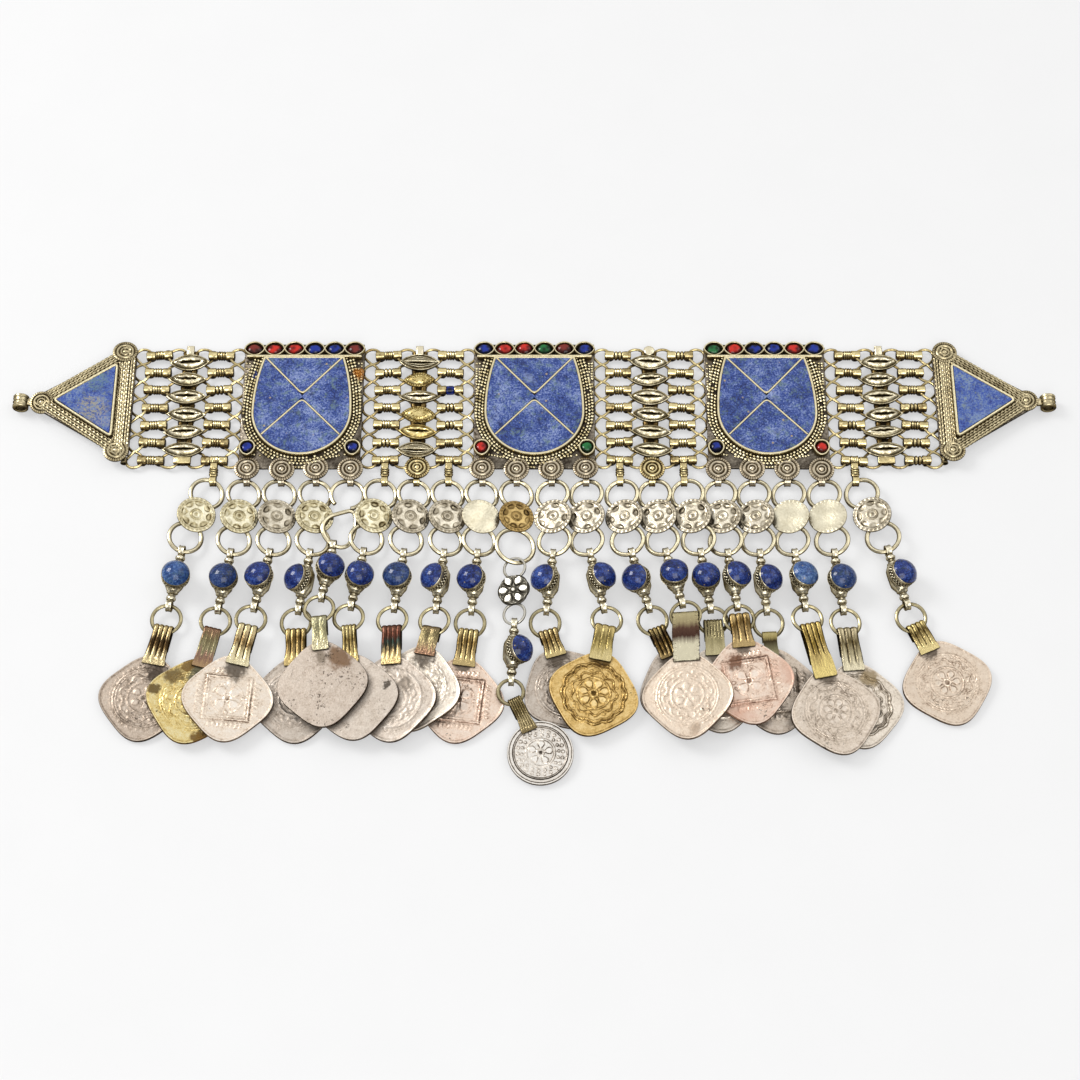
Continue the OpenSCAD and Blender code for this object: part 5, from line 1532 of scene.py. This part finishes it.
def strap(i, piece):
    d, look = DROPS[i], STRAPS[i]
    low = half_size(d) - d.reach - STRAP_GRIP + 0.6
    gap = math.sqrt((ring_r(i) - COIN_WIRE) ** 2 - (d.strap_w / 2) ** 2)
    top = d.strap_up + 0.25 - STRAP_SLOT + ring_r(i) - gap
    back = low + STRAP_GRIP + 1.8
    mid = STRAP_SLOT + STRAP_T / 2
    arc = [(math.cos(a), math.sin(a)) for a in np.radians(np.linspace(90, -90, FOLD))]
    path = np.array([(y, mid) for y in np.linspace(low, top, FRONT + 1)[:-1]]
                    + [(top + mid * c, mid * s) for c, s in arc]
                    + [(y, -mid) for y in np.linspace(top, back, BACK + 1)[1:]])
    out = np.array([(0, 1)] * FRONT + arc + [(0, -1)] * BACK)
    cols = max(4, look.flutes) * 6 + 1
    wide = d.strap_w * (WIDE_STRAP_LOOK if i == WIDE_STRAP else 1)
    u = np.linspace(-1, 1, cols)
    share = np.clip((top + mid - path[:, 0]) / (top + mid - low), 0, 1)
    share[FRONT + FOLD:] = 0.1
    ripple, fade = np.zeros(cols), np.ones(len(path))
    if look.flutes:
        ripple = 1 - np.abs(np.sin((u + 1) / 2 * math.pi * look.flutes)) ** 0.7
    if look.plain:
        fade = 1 - smooth(share, 1 - look.plain - 0.12, 1 - look.plain + 0.02)
    width = wide / 2 * (1 + look.flare * smooth(share, 0.45, 1)) * (1 - 0.03 * np.sin(share * 9 + i))
    loops = []
    for lift in (STRAP_T / 2, -STRAP_T / 2 + 0.1):
        depth = look.deep * (0.3 - ripple[None] * fade[:, None]) + lift
        loops.append(np.stack([u[None] * width[:, None], path[:, :1] + out[:, :1] * depth,
                               path[:, 1:] + out[:, 1:] * depth], -1))
    upper, lower = loops
    skin = np.concatenate([upper, lower[:, ::-1]], 1)
    # The valleys between the flutes are painted darker, as grimy patina and painted shade, and the back,
    # which faces down, darker still, as painted shade
    valley_grime_and_shade = 0.9 * min(1, look.deep * 2.5) * ripple[None] * fade[:, None]
    bare = np.concatenate([1.0 - valley_grime_and_shade, 0.6 - 0.5 * valley_grime_and_shade[:, ::-1]], 1)
    # The side edges, and the edge of the lower end, are painted darker: painted shade
    edge = np.ones_like(u)
    edge[[0, -1]] = 0.5
    bare = bare * np.concatenate([edge, edge[::-1]])[None]
    bare[0] *= 0.35
    # The notches of the wide strap's sides are painted as dark ticks on every other row: painted shade
    if i == WIDE_STRAP:
        sides = np.abs(np.concatenate([u, u]))[None] > 0.7
        bare = bare * (1 - 0.55 * sides * (np.arange(len(path)) % 2)[:, None])
    both = np.concatenate([u, u[::-1]])
    local = np.stack(np.broadcast_arrays(both[None], share[:, None], float(i)), -1)
    piece.add(stack(skin), coin_frame(i) @ move(0, 0, STRAP_Z), bare, local)


def coins():
    for i in range(len(DROPS)):
        number = f"{i + 1:02d}"
        slot = "bright_silver" if i == LONG_DROP else "coin_brass" if i in (1, 11) else "coin_metal"
        disc, tab = Piece(), Piece()
        coin_shape(i, disc)
        metal = coin_paint(f"coin_{number}_metal", **COIN_LOOKS[i])
        disc.make(f"coin_{number}_disc", metal, slot, f"coin_{number}")
        strap(i, tab)
        words = STRAPS[i].bands.split()
        bands = [(float(place), code) for place, code in zip(words[::2], words[1::2])]
        brass = strap_paint(f"strap_{number}_brass", bands, 0.9 if STRAPS[i].flutes else 0.2)
        tab.make(f"coin_{number}_strap", brass, slot, f"coin_{number}", sharp=60)


# Everything is made here

for p, name in enumerate(("plaque_left", "plaque_centre", "plaque_right")):
    plaque(name, p)
for tint, piece in STONE_PIECES.items():
    piece.make(f"stones_{tint}", GLASS[tint], f"glass_{tint}", f"glass_{tint}", sharp=10, side_wear_and_shade=0)
end_piece("end_plate_left", True)
end_piece("end_plate_right", False)
for p in range(4):
    barrels(p)
    centre(p)
    lacing(p)
disc_links()
silver_link()
bent_ring()
beads()
coin_rings()
coins()

for name in ("lapis_inlay_left", "lapis_inlay_centre", "lapis_inlay_right", "end_lapis_left",
             "end_lapis_right"):
    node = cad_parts[name]
    node.data.materials.clear()
    node.data.materials.append(END_LAPIS if name.startswith("end") else LAPIS)

# Floor, light and camera

FLOOR_HALF = 12.0
plane = bpy.data.meshes.new("floor")
corners = block(FLOOR_HALF, -FLOOR_HALF, FLOOR_HALF)
plane.from_pydata([(x, y, 0) for x, y in corners], [], [(0, 1, 2, 3)])
plane.materials.append(floor_paint())
floor = bpy.data.objects.new("floor", plane)
bpy.context.scene.collection.objects.link(floor)


def area_light(name, place, size, power):
    """A soft square light that faces the origin."""
    data = bpy.data.lights.new(name, "AREA")
    data.size, data.energy = size, power
    light = bpy.data.objects.new(name, data)
    light.location = place
    away = light.location.normalized()
    light.rotation_mode = "QUATERNION"
    light.rotation_quaternion = away.to_track_quat("Z", "Y")
    bpy.context.scene.collection.objects.link(light)


area_light("key", (-1.0, 0.55, 0.95), 0.6, 12)
area_light("fill", (1.0, 0.6, 1.1), 1.0, 3)
area_light("front", (0.1, -0.75, 1.0), 0.8, 6)


def studio():
    """A plain white studio: brightest overhead and behind the necklace, darker towards the horizon."""
    world = bpy.data.worlds.new("studio")
    world.use_nodes = True
    nodes, links = world.node_tree.nodes, world.node_tree.links
    facing = nodes.new("ShaderNodeVectorMath")
    facing.operation = "DOT_PRODUCT"
    facing.inputs[1].default_value = (0, 0.3, 0.95)
    links.new(nodes.new("ShaderNodeTexCoord").outputs["Generated"], facing.inputs[0])
    band = nodes.new("ShaderNodeMapRange")
    band.interpolation_type = "SMOOTHSTEP"
    links.new(facing.outputs["Value"], band.inputs["Value"])
    for name, value in (("From Min", -0.1), ("From Max", 0.85), ("To Min", 0.06), ("To Max", 0.84)):
        band.inputs[name].default_value = value
    links.new(band.outputs[0], nodes["Background"].inputs["Strength"])
    nodes["Background"].inputs["Color"].default_value = (1, 1, 1, 1)
    bpy.context.scene.world = world


studio()
bpy.context.scene.view_settings.view_transform = "Standard"

CAMERA_ELEVATION = 63
CAMERA_DISTANCE = 0.680
CAMERA_AIM = (0.0017, 0.0057, 0)
CAMERA_LENS = 77.07
camera_data = bpy.data.cameras.new("camera")
camera_data.lens = CAMERA_LENS
camera_data.sensor_width = 36
camera = bpy.data.objects.new("camera", camera_data)
e = math.radians(CAMERA_ELEVATION)
camera.location = (CAMERA_AIM[0], CAMERA_AIM[1] - CAMERA_DISTANCE * math.cos(e),
                   CAMERA_DISTANCE * math.sin(e))
camera.rotation_euler = (math.pi / 2 - e, 0, 0)
bpy.context.scene.collection.objects.link(camera)
bpy.context.scene.camera = camera
